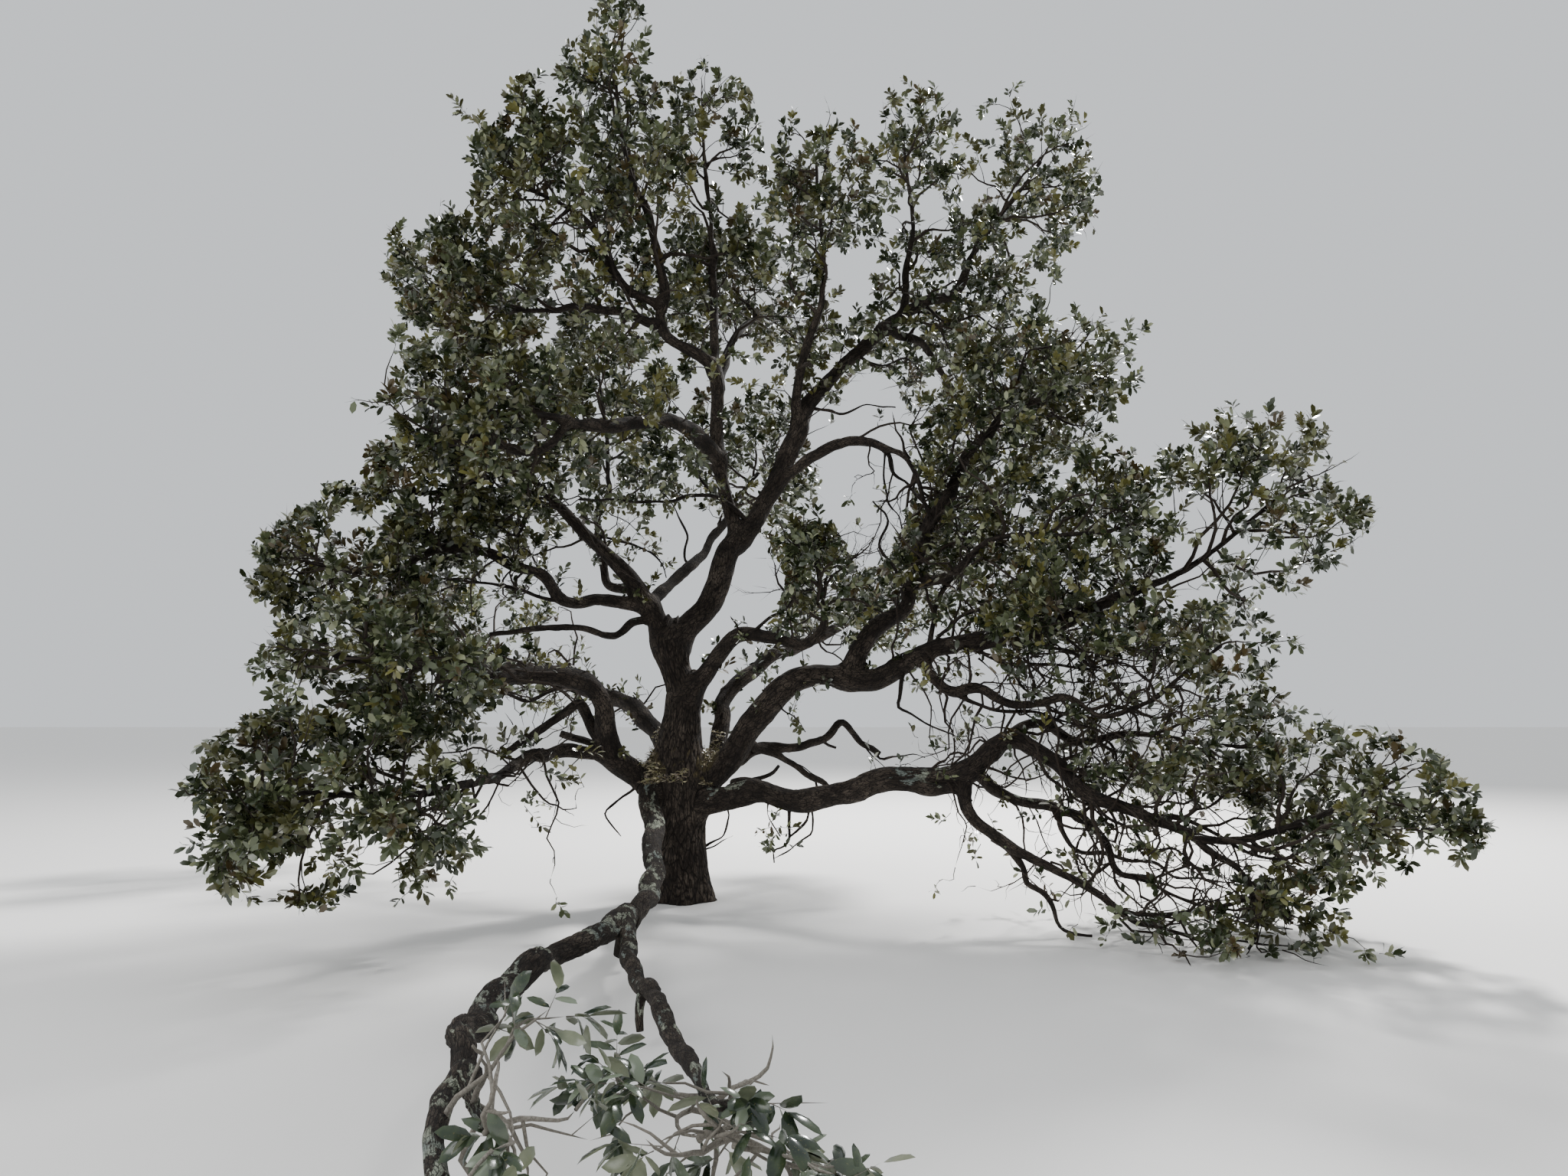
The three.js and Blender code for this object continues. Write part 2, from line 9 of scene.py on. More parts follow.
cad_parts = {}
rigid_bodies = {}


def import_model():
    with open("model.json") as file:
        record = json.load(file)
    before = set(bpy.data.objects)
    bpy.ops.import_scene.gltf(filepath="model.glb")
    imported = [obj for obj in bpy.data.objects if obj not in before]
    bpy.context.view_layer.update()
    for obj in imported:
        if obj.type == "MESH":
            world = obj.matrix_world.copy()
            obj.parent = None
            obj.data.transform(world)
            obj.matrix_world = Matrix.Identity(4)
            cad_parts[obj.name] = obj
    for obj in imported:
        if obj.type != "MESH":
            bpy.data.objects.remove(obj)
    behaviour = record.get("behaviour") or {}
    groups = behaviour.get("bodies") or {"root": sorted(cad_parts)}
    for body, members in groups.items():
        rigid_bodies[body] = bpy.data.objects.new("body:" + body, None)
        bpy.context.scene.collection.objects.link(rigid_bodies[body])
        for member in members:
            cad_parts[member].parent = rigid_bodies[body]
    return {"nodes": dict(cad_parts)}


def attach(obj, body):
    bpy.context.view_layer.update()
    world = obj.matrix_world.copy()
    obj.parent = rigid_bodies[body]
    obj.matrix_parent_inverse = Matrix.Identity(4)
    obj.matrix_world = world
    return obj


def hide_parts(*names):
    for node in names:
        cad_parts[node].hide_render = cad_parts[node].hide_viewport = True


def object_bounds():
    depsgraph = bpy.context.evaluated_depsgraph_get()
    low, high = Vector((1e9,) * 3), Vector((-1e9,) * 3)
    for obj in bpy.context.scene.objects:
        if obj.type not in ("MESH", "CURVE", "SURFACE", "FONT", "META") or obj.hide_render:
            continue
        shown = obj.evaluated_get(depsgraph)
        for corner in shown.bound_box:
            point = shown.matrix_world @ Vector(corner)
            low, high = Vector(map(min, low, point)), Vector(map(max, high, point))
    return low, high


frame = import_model()
cad_box = [list(corner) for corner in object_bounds()]

# The trunk is a short stem of dense wood under dark, deeply furrowed bark. It flares into
# five roots, leans a little, and leads straight up to a fork at head height. It has grown
# in one piece with every bough.
TRUNK_STATIONS = np.array([  # x, y, height, radius
    (0, 0, 0, 0.235), (-0.01, 0, 0.36, 0.226), (-0.01, 0, 0.75, 0.213),
    (-0.03, 0, 1.08, 0.227), (-0.025, 0.005, 1.41, 0.19), (0, 0.005, 1.76, 0.148),
    (-0.07, 0.005, 1.99, 0.141), (-0.12, 0, 2.21, 0.135),
])


def unit(vectors):
    return vectors / np.maximum(np.linalg.norm(vectors, axis=-1, keepdims=True), 1e-12)


def smooth_step(low, high, values):
    part = np.clip((values - low) / (high - low), 0, 1)
    return part * part * (3 - 2 * part)


def curve_at(points, shares):
    """Places on a smooth curve through points, timed by the root of each gap's length."""
    points = np.asarray(points, float)
    ends = np.vstack([2 * points[0] - points[1], points, 2 * points[-1] - points[-2]])
    gaps = np.sqrt(np.maximum(np.linalg.norm(np.diff(ends, axis=0), axis=1), 1e-6))
    place = np.asarray(shares) * (len(points) - 1)
    span = np.minimum(place.astype(int), len(points) - 2)
    part = (place - span)[:, None]
    p0, p1, p2, p3 = (ends[span + k] for k in range(4))
    g0, g1, g2 = (gaps[span + k][:, None] for k in range(3))
    leave = ((p1 - p0) / g0 - (p2 - p0) / (g0 + g1) + (p2 - p1) / g1) * g1
    arrive = ((p2 - p1) / g1 - (p3 - p1) / (g1 + g2) + (p3 - p2) / g2) * g1
    return (p1 + part * leave + part**2 * (3 * (p2 - p1) - 2 * leave - arrive)
            + part**3 * (2 * (p1 - p2) + leave + arrive))


def limb_along(line, girth, **facts):
    """A limb: its line, the run along it, and its girth (radius) at each point."""
    steps = np.linalg.norm(np.diff(line, axis=0), axis=1)
    run = np.concatenate([[0], np.cumsum(steps)])
    return dict(line=line, run=run, girth=girth, length=run[-1], **facts)


def along_limb(limb, runs):
    """The places and girths at given runs along a limb."""
    places = [np.interp(runs, limb["run"], limb["line"][:, axis]) for axis in range(3)]
    return np.stack(places, axis=-1), np.interp(runs, limb["run"], limb["girth"])


trunk_shares = np.linspace(0, 1, 161)
limbs = {"trunk": limb_along(curve_at(TRUNK_STATIONS[:, :3], trunk_shares),
                             curve_at(TRUNK_STATIONS[:, 3:], trunk_shares)[:, 0],
                             parent=None)}

# The boughs are long and crooked, and many dip to the ground under their own weight. Each
# leaves its parent at a share of the parent's length in a swollen collar, and passes
# through its bends to a mass of leaves, where its wood runs on as the stem of the mass.
CM, MM = 100, 1000
BOUGHS = [  # name, parent, share of it, base and tip radius in mm, leaf mass, bends in cm
    ("right_leader", "trunk", 0.99, 108, 39,
     ("foliage_right_top", (327, 110, 680), (84, 119, 119)),
     [(7, 2, 239), (30, 5, 269), (41, 10, 301), (72, 22, 343), (90, 35, 385), (110, 50, 442),
      (186, 75, 535), (265, 100, 587), (278, 105, 620)]),
    ("left_leader", "trunk", 0.99, 95, 32,
     ("foliage_left_middle", (-170, -100, 333), (90, 103, 60)),
     [(-23, -2, 235), (-33, -6, 253), (-51, -15, 282), (-90, -40, 319), (-119, -70, 353)]),
    ("long_left_arm", "left_leader", 0.21, 61, 27,
     ("foliage_left_outer", (-245, -130, 267), (70, 103, 70)),
     [(-67, -20, 257), (-97, -40, 257), (-120, -60, 278), (-189, -100, 290),
      (-216, -115, 270)]),
    ("left_upright", "left_leader", 0.3, 42, 28,
     ("foliage_back_left_high", (-100, 140, 479), (81, 113, 107)),
     [(-67, 0, 273), (-74, 6, 294), (-81, 30, 320), (-85, 100, 395)]),
    ("inner_back_limb", "left_leader", 0.21, 54, 34,
     ("foliage_back_middle", (66.5, 210, 422), (75, 108, 77)),
     [(-21, 20, 272), (-5, 50, 293), (10, 85, 313), (36, 160, 375)]),
    ("top_leader", "right_leader", 0.225, 69, 30,
     ("foliage_top", (-57, -45, 688), (70, 86, 110)),
     [(38, 10, 350), (30, 0, 387), (24, -10, 465), (-21, -25, 498), (-17, -30, 536),
      (-39, -40, 616), (-45, -40, 630)]),
    ("heavy_front_limb", "top_leader", 0.214, 68, 45,
     ("foliage_front_left", (-102, -230, 362), (78, 92, 69)),
     [(11, -50, 401), (-13, -100, 397), (-43, -150, 379), (-69, -190, 373)]),
    ("top_middle_limb", "top_leader", 0.44, 46, 29,
     ("foliage_top_middle", (15, 10, 670), (60, 92, 97)),
     [(27, 5, 509), (22, 10, 570), (21, 12, 608)]),
    ("middle_back_limb", "top_leader", 0.4, 41, 30,
     ("foliage_back_high", (44, 140, 581), (100, 108, 95)),
     [(39, 30, 502), (60, 75, 545)]),
    ("upper_left_arm", "top_leader", 0.62, 42, 28,
     ("foliage_left_high", (-193, 10, 529), (103, 124, 118)),
     [(-64, -25, 516), (-86, -20, 520), (-130, -10, 522)]),
    ("top_left_limb", "top_leader", 0.67, 40, 28,
     ("foliage_top_left", (-112, -75, 591.5), (66, 92, 108)),
     [(-58, -40, 540), (-72, -50, 568), (-80, -55, 583)]),
    ("arching_limb", "right_leader", 0.357, 50, 34,
     ("foliage_under_arch", (206, -30, 343), (46, 70, 58)),
     [(115, 15, 391), (135, 5, 399), (162, -5, 399), (188, -15, 390)]),
    ("upper_middle_limb", "right_leader", 0.47, 51, 28,
     ("foliage_middle_top", (120, -30, 605), (59, 92, 97)),
     [(100, 30, 448), (104, 15, 477), (123, -10, 526), (125, -15, 545)]),
    ("back_right_limb", "right_leader", 0.74, 44, 30,
     ("foliage_back_right_high", (310, 200, 470), (97, 119, 103)),
     [(230, 120, 530), (260, 150, 505)]),
    ("top_right_limb", "right_leader", 0.79, 38, 30,
     ("foliage_top_right", (208, 55, 680), (60, 92, 92)),
     [(208, 70, 586), (213, 60, 617)]),
    ("great_right_arch", "trunk", 0.43, 120, 38,
     ("foliage_far_right", (448, -120, 301), (93, 119, 108)),
     [(26, 0, 106), (48, -5, 124), (66, -15, 158), (86, -25, 180), (112, -35, 193),
      (154, -50, 189), (215, -75, 211), (285, -100, 226), (385, -115, 262)]),
    ("right_upright", "great_right_arch", 0.418, 77, 38,
     ("foliage_right_high", (313, 0, 450), (99, 108, 89)),
     [(155, -50, 215), (193, -45, 256), (199, -40, 284), (235, -20, 357), (275, -5, 415)]),
    ("right_side_limb", "right_upright", 0.36, 40, 31,
     ("foliage_right_middle", (312, -120, 292), (95, 108, 79)),
     [(227, -70, 278), (250, -95, 295)]),
    ("lower_arch_limb", "great_right_arch", 0.565, 44, 26,
     ("foliage_right_low", (378, -170, 187), (91, 97, 57)),
     [(223, -85, 178), (246, -100, 179), (272, -120, 165), (303, -140, 172), (318, -150, 160)]),
    ("low_right_bough", "trunk", 0.35, 104, 37,
     ("foliage_right_skirt_front", (456, -220, 92.5), (97, 108, 65)),
     [(31, -20, 87), (64, -35, 92), (105, -50, 88), (166, -80, 108), (231, -105, 114),
      (267, -120, 138), (291, -135, 125), (314, -150, 102), (374, -200, 76)]),
    ("right_skirt_limb", "low_right_bough", 0.62, 46, 30,
     ("foliage_right_skirt_back", (433, -100, 128), (103, 97, 57)),
     [(276, -100, 147), (296, -95, 149), (319, -95, 138), (346, -100, 142)]),
    ("drop_limb", "low_right_bough", 0.57, 54, 22,
     ("foliage_right_ground", (378, -220, 30), (76, 81, 32)),
     [(229, -112, 90), (244, -125, 72), (264, -140, 60), (294, -160, 44), (320, -185, 26)]),
    ("upper_right_bough", "trunk", 0.77, 88, 36,
     ("foliage_inner_right", (116, -90, 265), (77, 86, 52)),
     [(21, -15, 196), (37, -30, 213), (63, -50, 225), (105, -70, 216), (118, -80, 226)]),
    ("back_right_bough", "trunk", 0.485, 88, 40,
     ("foliage_back_right", (210, 220, 297), (108, 119, 78)),
     [(25, 16, 118), (35, 35, 148), (34, 50, 168), (48, 70, 190), (99, 120, 223),
      (150, 175, 252)]),
    ("back_left_bough", "trunk", 0.516, 92, 42,
     ("foliage_back_left", (-290, 240, 230), (103, 119, 86)),
     [(-18, 26, 130), (-48, 65, 162), (-100, 115, 183), (-160, 160, 196), (-215, 195, 213)]),
    ("left_bough", "trunk", 0.417, 113, 42,
     ("foliage_left_skirt_high", (-170, -260, 186), (86, 108, 54)),
     [(-38, -15, 107), (-54, -30, 122), (-58, -45, 142), (-60, -60, 168), (-71, -75, 184),
      (-120, -130, 189), (-140, -190, 193)]),
    ("left_low_arm", "left_bough", 0.235, 60, 32,
     ("foliage_left_skirt_low", (-190, -290, 105), (113, 108, 65)),
     [(-76, -50, 128), (-97, -80, 129), (-119, -170, 115), (-135, -220, 110)]),
    ("front_limb", "trunk", 0.404, 98, 30,
     ("foliage_front_tip", (5, -675, 47), (50, 65, 30)),
     [(-25, -25, 92), (-22, -50, 73), (-14, -100, 54), (-10, -170, 34), (-11, -240, 28),
      (-30, -370, 31), (-35, -460, 35), (-30, -550, 40), (-12, -625, 45)]),
    ("front_fork_limb", "front_limb", 0.428, 50, 30,
     ("foliage_front_fork", (70, -650, 43), (62, 70, 30)),
     [(1, -340, 23), (24, -430, 26), (45, -530, 32.5), (60, -600, 38)]),
    ("dead_crooked_limb", "great_right_arch", 0.11, 50, 20, None,
     [(72, 10, 131), (107, 20, 132), (128, 30, 137), (141, 35, 150), (159, 40, 135),
      (177, 45, 124)]),
]
BOUGH_SECTIONS = 40
COLLAR_SWELL, TAPER_POWER = 0.16, 0.85
CROOK_RUN, CROOK_GROWTH, CROOK_REACH = 0.14, 2.4, 0.13
STEM_BASE_SHARE, STEM_TIP_RADIUS, STEM_POINTS = 0.8, 0.012, 41
STEM_BEND, STEM_RISE, STEM_REACH = 0.4, 0.3, 0.5
WHOLE = 0xFFFFFFFF


def scattered(cells, seed):
    """An even random number from 0 to 1 for each whole-numbered place."""
    mix = (cells[..., 0] * 73856093 ^ cells[..., 1] * 19349663
           ^ cells[..., 2] * 83492791 ^ seed * 40503) & WHOLE
    for shift, factor in ((15, 0x2C1B3C6D), (12, 0x297A2D39)):
        mix = ((mix ^ (mix >> shift)) * factor) & WHOLE
    return (mix ^ (mix >> 15)) / (WHOLE + 1)


def drift(places, seed):
    """Smooth random values from -1 to 1 that change over about one unit of space."""
    cells = np.floor(places).astype(np.int64)
    part = places - cells
    part = part * part * (3 - 2 * part)
    total = np.zeros(places.shape[:-1])
    for corner in np.ndindex(2, 2, 2):
        weight = np.prod(np.where(corner, part, 1 - part), axis=-1)
        total += weight * scattered(cells + corner, seed)
    return 2 * total - 1


def crooked(line, girth, seed):
    """Gives a smooth line the short straight runs and sudden bends of old oak wood."""
    run = np.cumsum(np.linalg.norm(np.diff(line, axis=0, prepend=line[:1]), axis=1))
    step = CROOK_RUN + CROOK_GROWTH * girth
    place = np.stack([run / step, 0 * run, 0 * run], axis=1) + 5.3 * seed
    shift = np.stack([drift(place, seed + k) for k in (0, 50, 100)], axis=1)
    fade = smooth_step(0, 1.5 * step, run) * smooth_step(0, step, run[-1] - run)
    return line + CROOK_REACH * step * shift * fade[:, None]


def add_limb(name, parent, line, base, tip, power):
    """Adds a limb that tapers from its base to its tip."""
    limb = limbs[name] = limb_along(line, None, parent=parent)
    limb["girth"] = tip + (base - tip) * (1 - limb["run"] / limb["length"]) ** power
    return limb


for number, (name, parent, share, base, tip, mass, bends) in enumerate(BOUGHS):
    base, bends = base / MM, np.array(bends) / CM
    start, _ = along_limb(limbs[parent], share * limbs[parent]["length"])
    line = curve_at([start, *bends], np.linspace(0, 1, BOUGH_SECTIONS * len(bends) + 1))
    limb = add_limb(name, parent, crooked(line, base, number), base, tip / MM, TAPER_POWER)
    limb["girth"] *= 1 + COLLAR_SWELL * np.exp(-limb["run"] / (2 * base))

masses = [dict(name=mass[0], middle=np.array(mass[1]) / CM, reach=np.array(mass[2]) / CM,
               bough=name) for name, *_, mass, _ in BOUGHS if mass]
MIDDLES = np.array([mass["middle"] for mass in masses])
REACHES = np.array([mass["reach"] for mass in masses])

for mass in masses:
    bough = limbs[mass["bough"]]
    start, along = bough["line"][-1], unit(bough["line"][-1] - bough["line"][-2])
    inward = mass["middle"] - start
    far = inward + [0, 0, STEM_RISE * np.linalg.norm(inward)]
    end = mass["middle"] + far * STEM_REACH / np.linalg.norm(far / mass["reach"])
    bend = start + along * STEM_BEND * np.linalg.norm(inward)
    part = np.linspace(0, 1, STEM_POINTS)[:, None]
    stem = ((1 - part) ** 3 * start + 3 * (1 - part) ** 2 * part * bend
            + 3 * (1 - part) * part**2 * mass["middle"] + part**3 * end)
    girth = np.linspace(STEM_BASE_SHARE * bough["girth"][-1], STEM_TIP_RADIUS, STEM_POINTS)
    mass["stem"] = bough["stem"] = limb_along(stem, girth)

# The limb that lies towards the front keeps its thickness nearly to its end.
front = limbs["front_limb"]
front["girth"] = 0.9 * front["girth"] * (1 + 0.45 * smooth_step(3.5, 5.5, front["run"]))

# Lesser limbs and small crooked ones, many of them bare or dead and some broken off blunt.
# Leaves hide them at a distance. Each grows from the nearest place on its parent.
LESSER_LIMBS = [  # name, parent, base and tip radius in mm, bends in cm
    ("low_left_arm", "left_leader", 34, 18, [(-29, 0, 240), (-41, -15, 239), (-52, -30, 229),
     (-77, -50, 229), (-96, -60, 230), (-122, -75, 229), (-148, -90, 223)]),
    ("left_loop_arm", "left_bough", 52, 24, [(-56, -30, 126), (-73, -45, 147),
     (-78, -60, 168), (-92, -80, 158), (-109, -105, 144), (-126, -130, 129)]),
    ("mid_skirt_limb", "low_right_bough", 48, 20, [(236, -106, 117), (260, -100, 98),
     (306, -100, 88), (333, -105, 66), (341, -110, 41), (366, -120, 35)]),
]
SMALL_LIMBS = [  # parent, base and tip radius in mm, bends in cm
    ("long_left_arm", 20, 8, [(-100, -42, 259), (-100, -44, 255), (-112, -50, 256),
     (-141, -68, 265), (-168, -84, 265), (-187, -96, 268)]),
    ("left_leader", 18, 7, [(-118, -70, 351), (-131, -84, 304), (-140, -88, 312),
     (-120, -95, 326), (-103, -101, 334)]),
    ("inner_back_limb", 15, 6, [(0, 60, 299), (-5, 64, 305), (-4, 75, 329), (-19, 91, 360),
     (-34, 101, 379)]),
    ("left_upright", 16, 6, [(-81, 33, 323), (-79, 32, 322), (-68, 26, 318), (-37, 11, 306),
     (-22, 3, 295), (-15, -5, 279)]),
    ("right_leader", 22, 10, [(62, 18, 328), (35, -4, 348), (6, -23, 350), (-12, -35, 341),
     (-58, -66, 337), (-80, -80, 335)]),
    ("right_leader", 18, 8, [(56, 15, 322), (36, 26, 341), (32, 32, 357), (15, 40, 372),
     (7, 51, 399), (11, 63, 431)]),
    ("heavy_front_limb", 36, 14, [(-68, -188, 373), (-69, -190, 371), (-78, -199, 357),
     (-89, -209, 347), (-107, -222, 345), (-124, -235, 349), (-142, -247, 341)]),
    ("top_leader", 20, 8, [(-23, -26, 502), (-36, -34, 506), (-45, -43, 518),
     (-54, -52, 529), (-59, -63, 546), (-65, -72, 558)]),
    ("top_left_limb", 14, 6, [(-69, -47, 561), (-76, -56, 584), (-84, -64, 605),
     (-93, -68, 613), (-101, -76, 634)]),
    ("top_leader", 18, 7, [(24, -9, 463), (31, -1, 479), (43, 14, 504), (45, 19, 515),
     (35, 30, 535)]),
    ("arching_limb", 20, 8, [(175, -10, 395), (182, -8, 389), (186, -3, 374), (199, 2, 366),
     (208, 6, 356), (217, 9, 352), (232, 14, 362)]),
    ("arching_limb", 12, 5, [(179, -11, 394), (179, -10, 390), (180, 6, 362), (183, 13, 350),
     (194, 21, 338), (197, 27, 328), (204, 34, 315)]),
    ("lower_arch_limb", 24, 8, [(205, -73, 199), (203, -74, 196), (215, -82, 182),
     (225, -87, 175), (256, -102, 161), (294, -118, 158), (329, -135, 147)]),
    ("great_right_arch", 20, 8, [(215, -75, 211), (236, -64, 217), (261, -52, 207),
     (277, -45, 202), (304, -32, 202)]),
    ("great_right_arch", 17, 6, [(186, -63, 200), (188, -64, 197), (187, -65, 192),
     (185, -68, 174), (183, -70, 164), (195, -73, 156), (210, -77, 148), (226, -80, 142),
     (233, -82, 135)]),
    ("great_right_arch", 26, 10, [(209, -73, 211), (211, -65, 227), (216, -55, 248),
     (222, -47, 264), (240, -34, 284), (255, -26, 298), (279, -12, 315), (303, -1, 325)]),
    ("great_right_arch", 20, 8, [(215, -75, 212), (216, -83, 224), (230, -94, 235),
     (248, -108, 243), (266, -121, 248), (283, -133, 250)]),
    ("right_upright", 18, 7, [(267, -8, 404), (271, -10, 402), (277, -16, 410),
     (283, -25, 424), (290, -37, 443), (300, -55, 470), (318, -66, 470)]),
    ("right_upright", 14, 6, [(261, -10, 395), (262, -9, 393), (302, 9, 400), (336, 25, 413),
     (338, 33, 431), (355, 43, 448)]),
    ("dead_crooked_limb", 11, 5, [(65, 7, 129), (63, 8, 131), (72, 11, 128), (86, 16, 119),
     (98, 20, 115), (112, 24, 108), (124, 28, 101)]),
    ("drop_limb", 32, 10, [(249, -129, 69), (260, -136, 57), (266, -142, 45),
     (266, -146, 35), (276, -152, 27), (283, -157, 18), (289, -162, 8), (297, -168, 3),
     (308, -173, 3)]),
    ("mid_skirt_limb", 22, 8, [(306, -100, 88), (306, -97, 72), (315, -94, 57),
     (326, -91, 51), (339, -89, 50), (355, -85, 45), (385, -80, 40), (404, -76, 30),
     (431, -71, 27), (452, -67, 24)]),
    ("left_bough", 20, 8, [(-105, -110, 187), (-128, -123, 189), (-139, -129, 190),
     (-155, -139, 187), (-176, -152, 181)]),
    ("left_bough", 22, 8, [(-82, -87, 187), (-83, -86, 185), (-103, -77, 176),
     (-123, -69, 168), (-142, -61, 179), (-154, -56, 184), (-177, -48, 193)]),
    ("left_bough", 38, 26, [(-53, -29, 121), (-71, -33, 132), (-85, -36, 138),
     (-99, -39, 144)]),
    ("left_bough", 14, 5, [(-34, -13, 105), (-38, -16, 96), (-54, -22, 84), (-62, -25, 76),
     (-56, -29, 66), (-48, -32, 57)]),
    ("front_limb", 42, 34, [(-12, -620, 45), (-16, -642, 42), (-13, -662, 41),
     (-7, -680, 41), (2, -700, 40)]),
    ("front_limb", 62, 48, [(-14, -250, 28), (-12, -260, 20), (-13, -270, 10)]),
    ("front_fork_limb", 30, 18, [(24, -428, 26), (25, -429, 27), (20, -431, 23),
     (19, -433, 15), (20, -436, 8)]),
    ("low_right_bough", 18, 6, [(269, -121, 138), (281, -126, 129), (289, -131, 113),
     (300, -136, 103), (304, -142, 86), (318, -147, 77), (327, -152, 66)]),
    ("low_right_bough", 16, 6, [(314, -150, 102), (321, -163, 88), (337, -180, 78),
     (344, -192, 67), (360, -207, 66), (367, -218, 55)]),
    ("right_skirt_limb", 16, 6, [(297, -95, 149), (317, -86, 161), (341, -78, 155),
     (363, -69, 164), (390, -59, 158), (412, -50, 167)]),
    ("great_right_arch", 18, 7, [(285, -100, 226), (296, -114, 211), (311, -127, 208),
     (324, -142, 194), (342, -158, 195), (355, -172, 183)]),
    ("great_right_arch", 16, 6, [(253, -90, 219), (253, -88, 222), (269, -74, 242),
     (294, -60, 250), (321, -43, 271), (351, -27, 276)]),
    ("back_right_bough", 18, 7, [(71, 92, 207), (82, 100, 224), (94, 109, 243),
     (112, 117, 251), (128, 126, 267)]),
    ("upper_right_bough", 18, 7, [(63, -50, 225), (74, -58, 236), (86, -66, 243),
     (99, -76, 258), (113, -83, 260)]),
    ("low_right_bough", 16, 7, [(93, -45, 91), (93, -42, 78), (93, -40, 69), (93, -38, 58),
     (88, -40, 51), (81, -42, 46), (81, -45, 37)]),
    ("low_right_bough", 12, 8, [(111, -50, 85), (109, -48, 73), (100, -44, 63), (93, -39, 57)]),
    ("low_right_bough", 12, 5, [(114, -50, 85), (113, -45, 71), (112, -42, 61),
     (106, -40, 56), (96, -38, 49), (88, -36, 43), (81, -34, 39)]),
    ("low_right_bough", 8, 4, [(74, -42, 88), (76, -45, 77), (80, -46, 69), (86, -42, 58)]),
    ("trunk", 13, 6, [(14, 10, 39), (24, 12, 47), (33, 5, 53), (37, 0, 58), (41, -10, 69),
     (41, -20, 79)]),
    ("trunk", 7, 3, [(15, 10, 40), (29, 15, 44), (36, 20, 48), (44, 20, 52)]),
    ("great_right_arch", 42, 24, [(63, -2, 131), (80, 12, 124), (90, 18, 116),
     (107, 24, 108), (119, 28, 103), (126, 30, 97), (130, 30, 91)]),
    ("great_right_arch", 13, 7, [(116, 28, 104), (118, 30, 94), (116, 30, 86), (112, 28, 85)]),
    ("dead_crooked_limb", 14, 4, [(169, 45, 128), (177, 46, 118), (186, 46, 119),
     (199, 50, 120), (209, 52, 122), (219, 55, 119)]),
    ("dead_crooked_limb", 11, 4, [(163, 40, 135), (168, 38, 123), (175, 34, 116),
     (183, 30, 108)]),
    ("dead_crooked_limb", 17, 12, [(125, 28, 132), (130, 29, 131), (136, 30, 129)]),
    ("low_right_bough", 30, 14, [(52, -20, 100), (63, -10, 103), (75, -6, 107), (81, 0, 110),
     (85, 2, 114)]),
    ("low_right_bough", 45, 36, [(46, -20, 100), (57, -30, 102), (66, -40, 100)]),
    ("great_right_arch", 12, 4, [(81, -20, 177), (88, -32, 164), (95, -36, 160),
     (102, -40, 153), (107, -40, 144)]),
    ("low_right_bough", 30, 10, [(369, -200, 75), (383, -203, 65), (398, -206, 58),
     (408, -210, 45), (409, -212, 26), (406, -215, 8), (400, -220, 3)]),
    ("mid_skirt_limb", 18, 6, [(352, -120, 39), (372, -125, 30), (398, -130, 18),
     (432, -140, 7), (461, -150, 3)]),
    ("drop_limb", 18, 6, [(309, -185, 27), (332, -190, 17), (358, -193, 9), (383, -196, 3),
     (407, -200, 3), (431, -210, 3)]),
    ("drop_limb", 10, 4, [(391, -197, 3), (388, -198, 11), (378, -200, 18), (360, -203, 17),
     (345, -205, 13), (335, -208, 6), (327, -210, 5)]),
    ("low_right_bough", 22, 8, [(349, -180, 85), (374, -170, 85), (399, -160, 76),
     (417, -160, 64), (442, -150, 55), (474, -140, 53)]),
    ("great_right_arch", 20, 7, [(238, -80, 210), (253, -86, 205), (266, -90, 199),
     (280, -96, 179), (290, -100, 174), (296, -102, 170)]),
    ("great_right_arch", 18, 7, [(265, -90, 213), (288, -80, 203), (320, -72, 197),
     (351, -65, 194), (370, -60, 176), (379, -60, 166)]),
    ("great_right_arch", 9, 3, [(246, -85, 204), (259, -88, 191), (261, -90, 183),
     (261, -92, 169)]),
    ("low_right_bough", 18, 7, [(267, -110, 138), (283, -100, 150), (298, -95, 151),
     (311, -90, 144), (318, -86, 135), (350, -80, 142), (386, -70, 142)]),
    ("low_right_bough", 55, 46, [(135, -60, 98), (144, -70, 94), (160, -85, 98),
     (183, -95, 101), (209, -105, 104), (223, -110, 101), (231, -112, 90)]),
    ("right_upright", 20, 8, [(193, -45, 256), (186, -30, 282), (173, -20, 306),
     (181, -15, 328), (168, -10, 347)]),
    ("right_upright", 18, 6, [(206, -30, 312), (223, -50, 330), (242, -60, 337),
     (253, -70, 358), (271, -75, 370)]),
    ("right_upright", 16, 6, [(216, -28, 332), (206, -10, 357), (214, 0, 387),
     (205, 10, 414), (216, 15, 440)]),
    ("right_upright", 16, 5, [(250, -15, 377), (267, -30, 407), (287, -35, 414),
     (307, -40, 432), (316, -45, 451)]),
    ("right_leader", 18, 6, [(226, 90, 565), (252, 80, 543), (278, 75, 548), (295, 70, 532),
     (318, 70, 536)]),
    ("right_leader", 16, 6, [(160, 70, 505), (182, 60, 492), (205, 55, 497), (220, 50, 483),
     (244, 50, 489)]),
    ("right_leader", 16, 6, [(115, 50, 446), (144, 40, 440), (169, 35, 447), (193, 30, 443)]),
]
BORNE_WITHIN = 0.12  # a first bend this near the parent's middle moves onto it


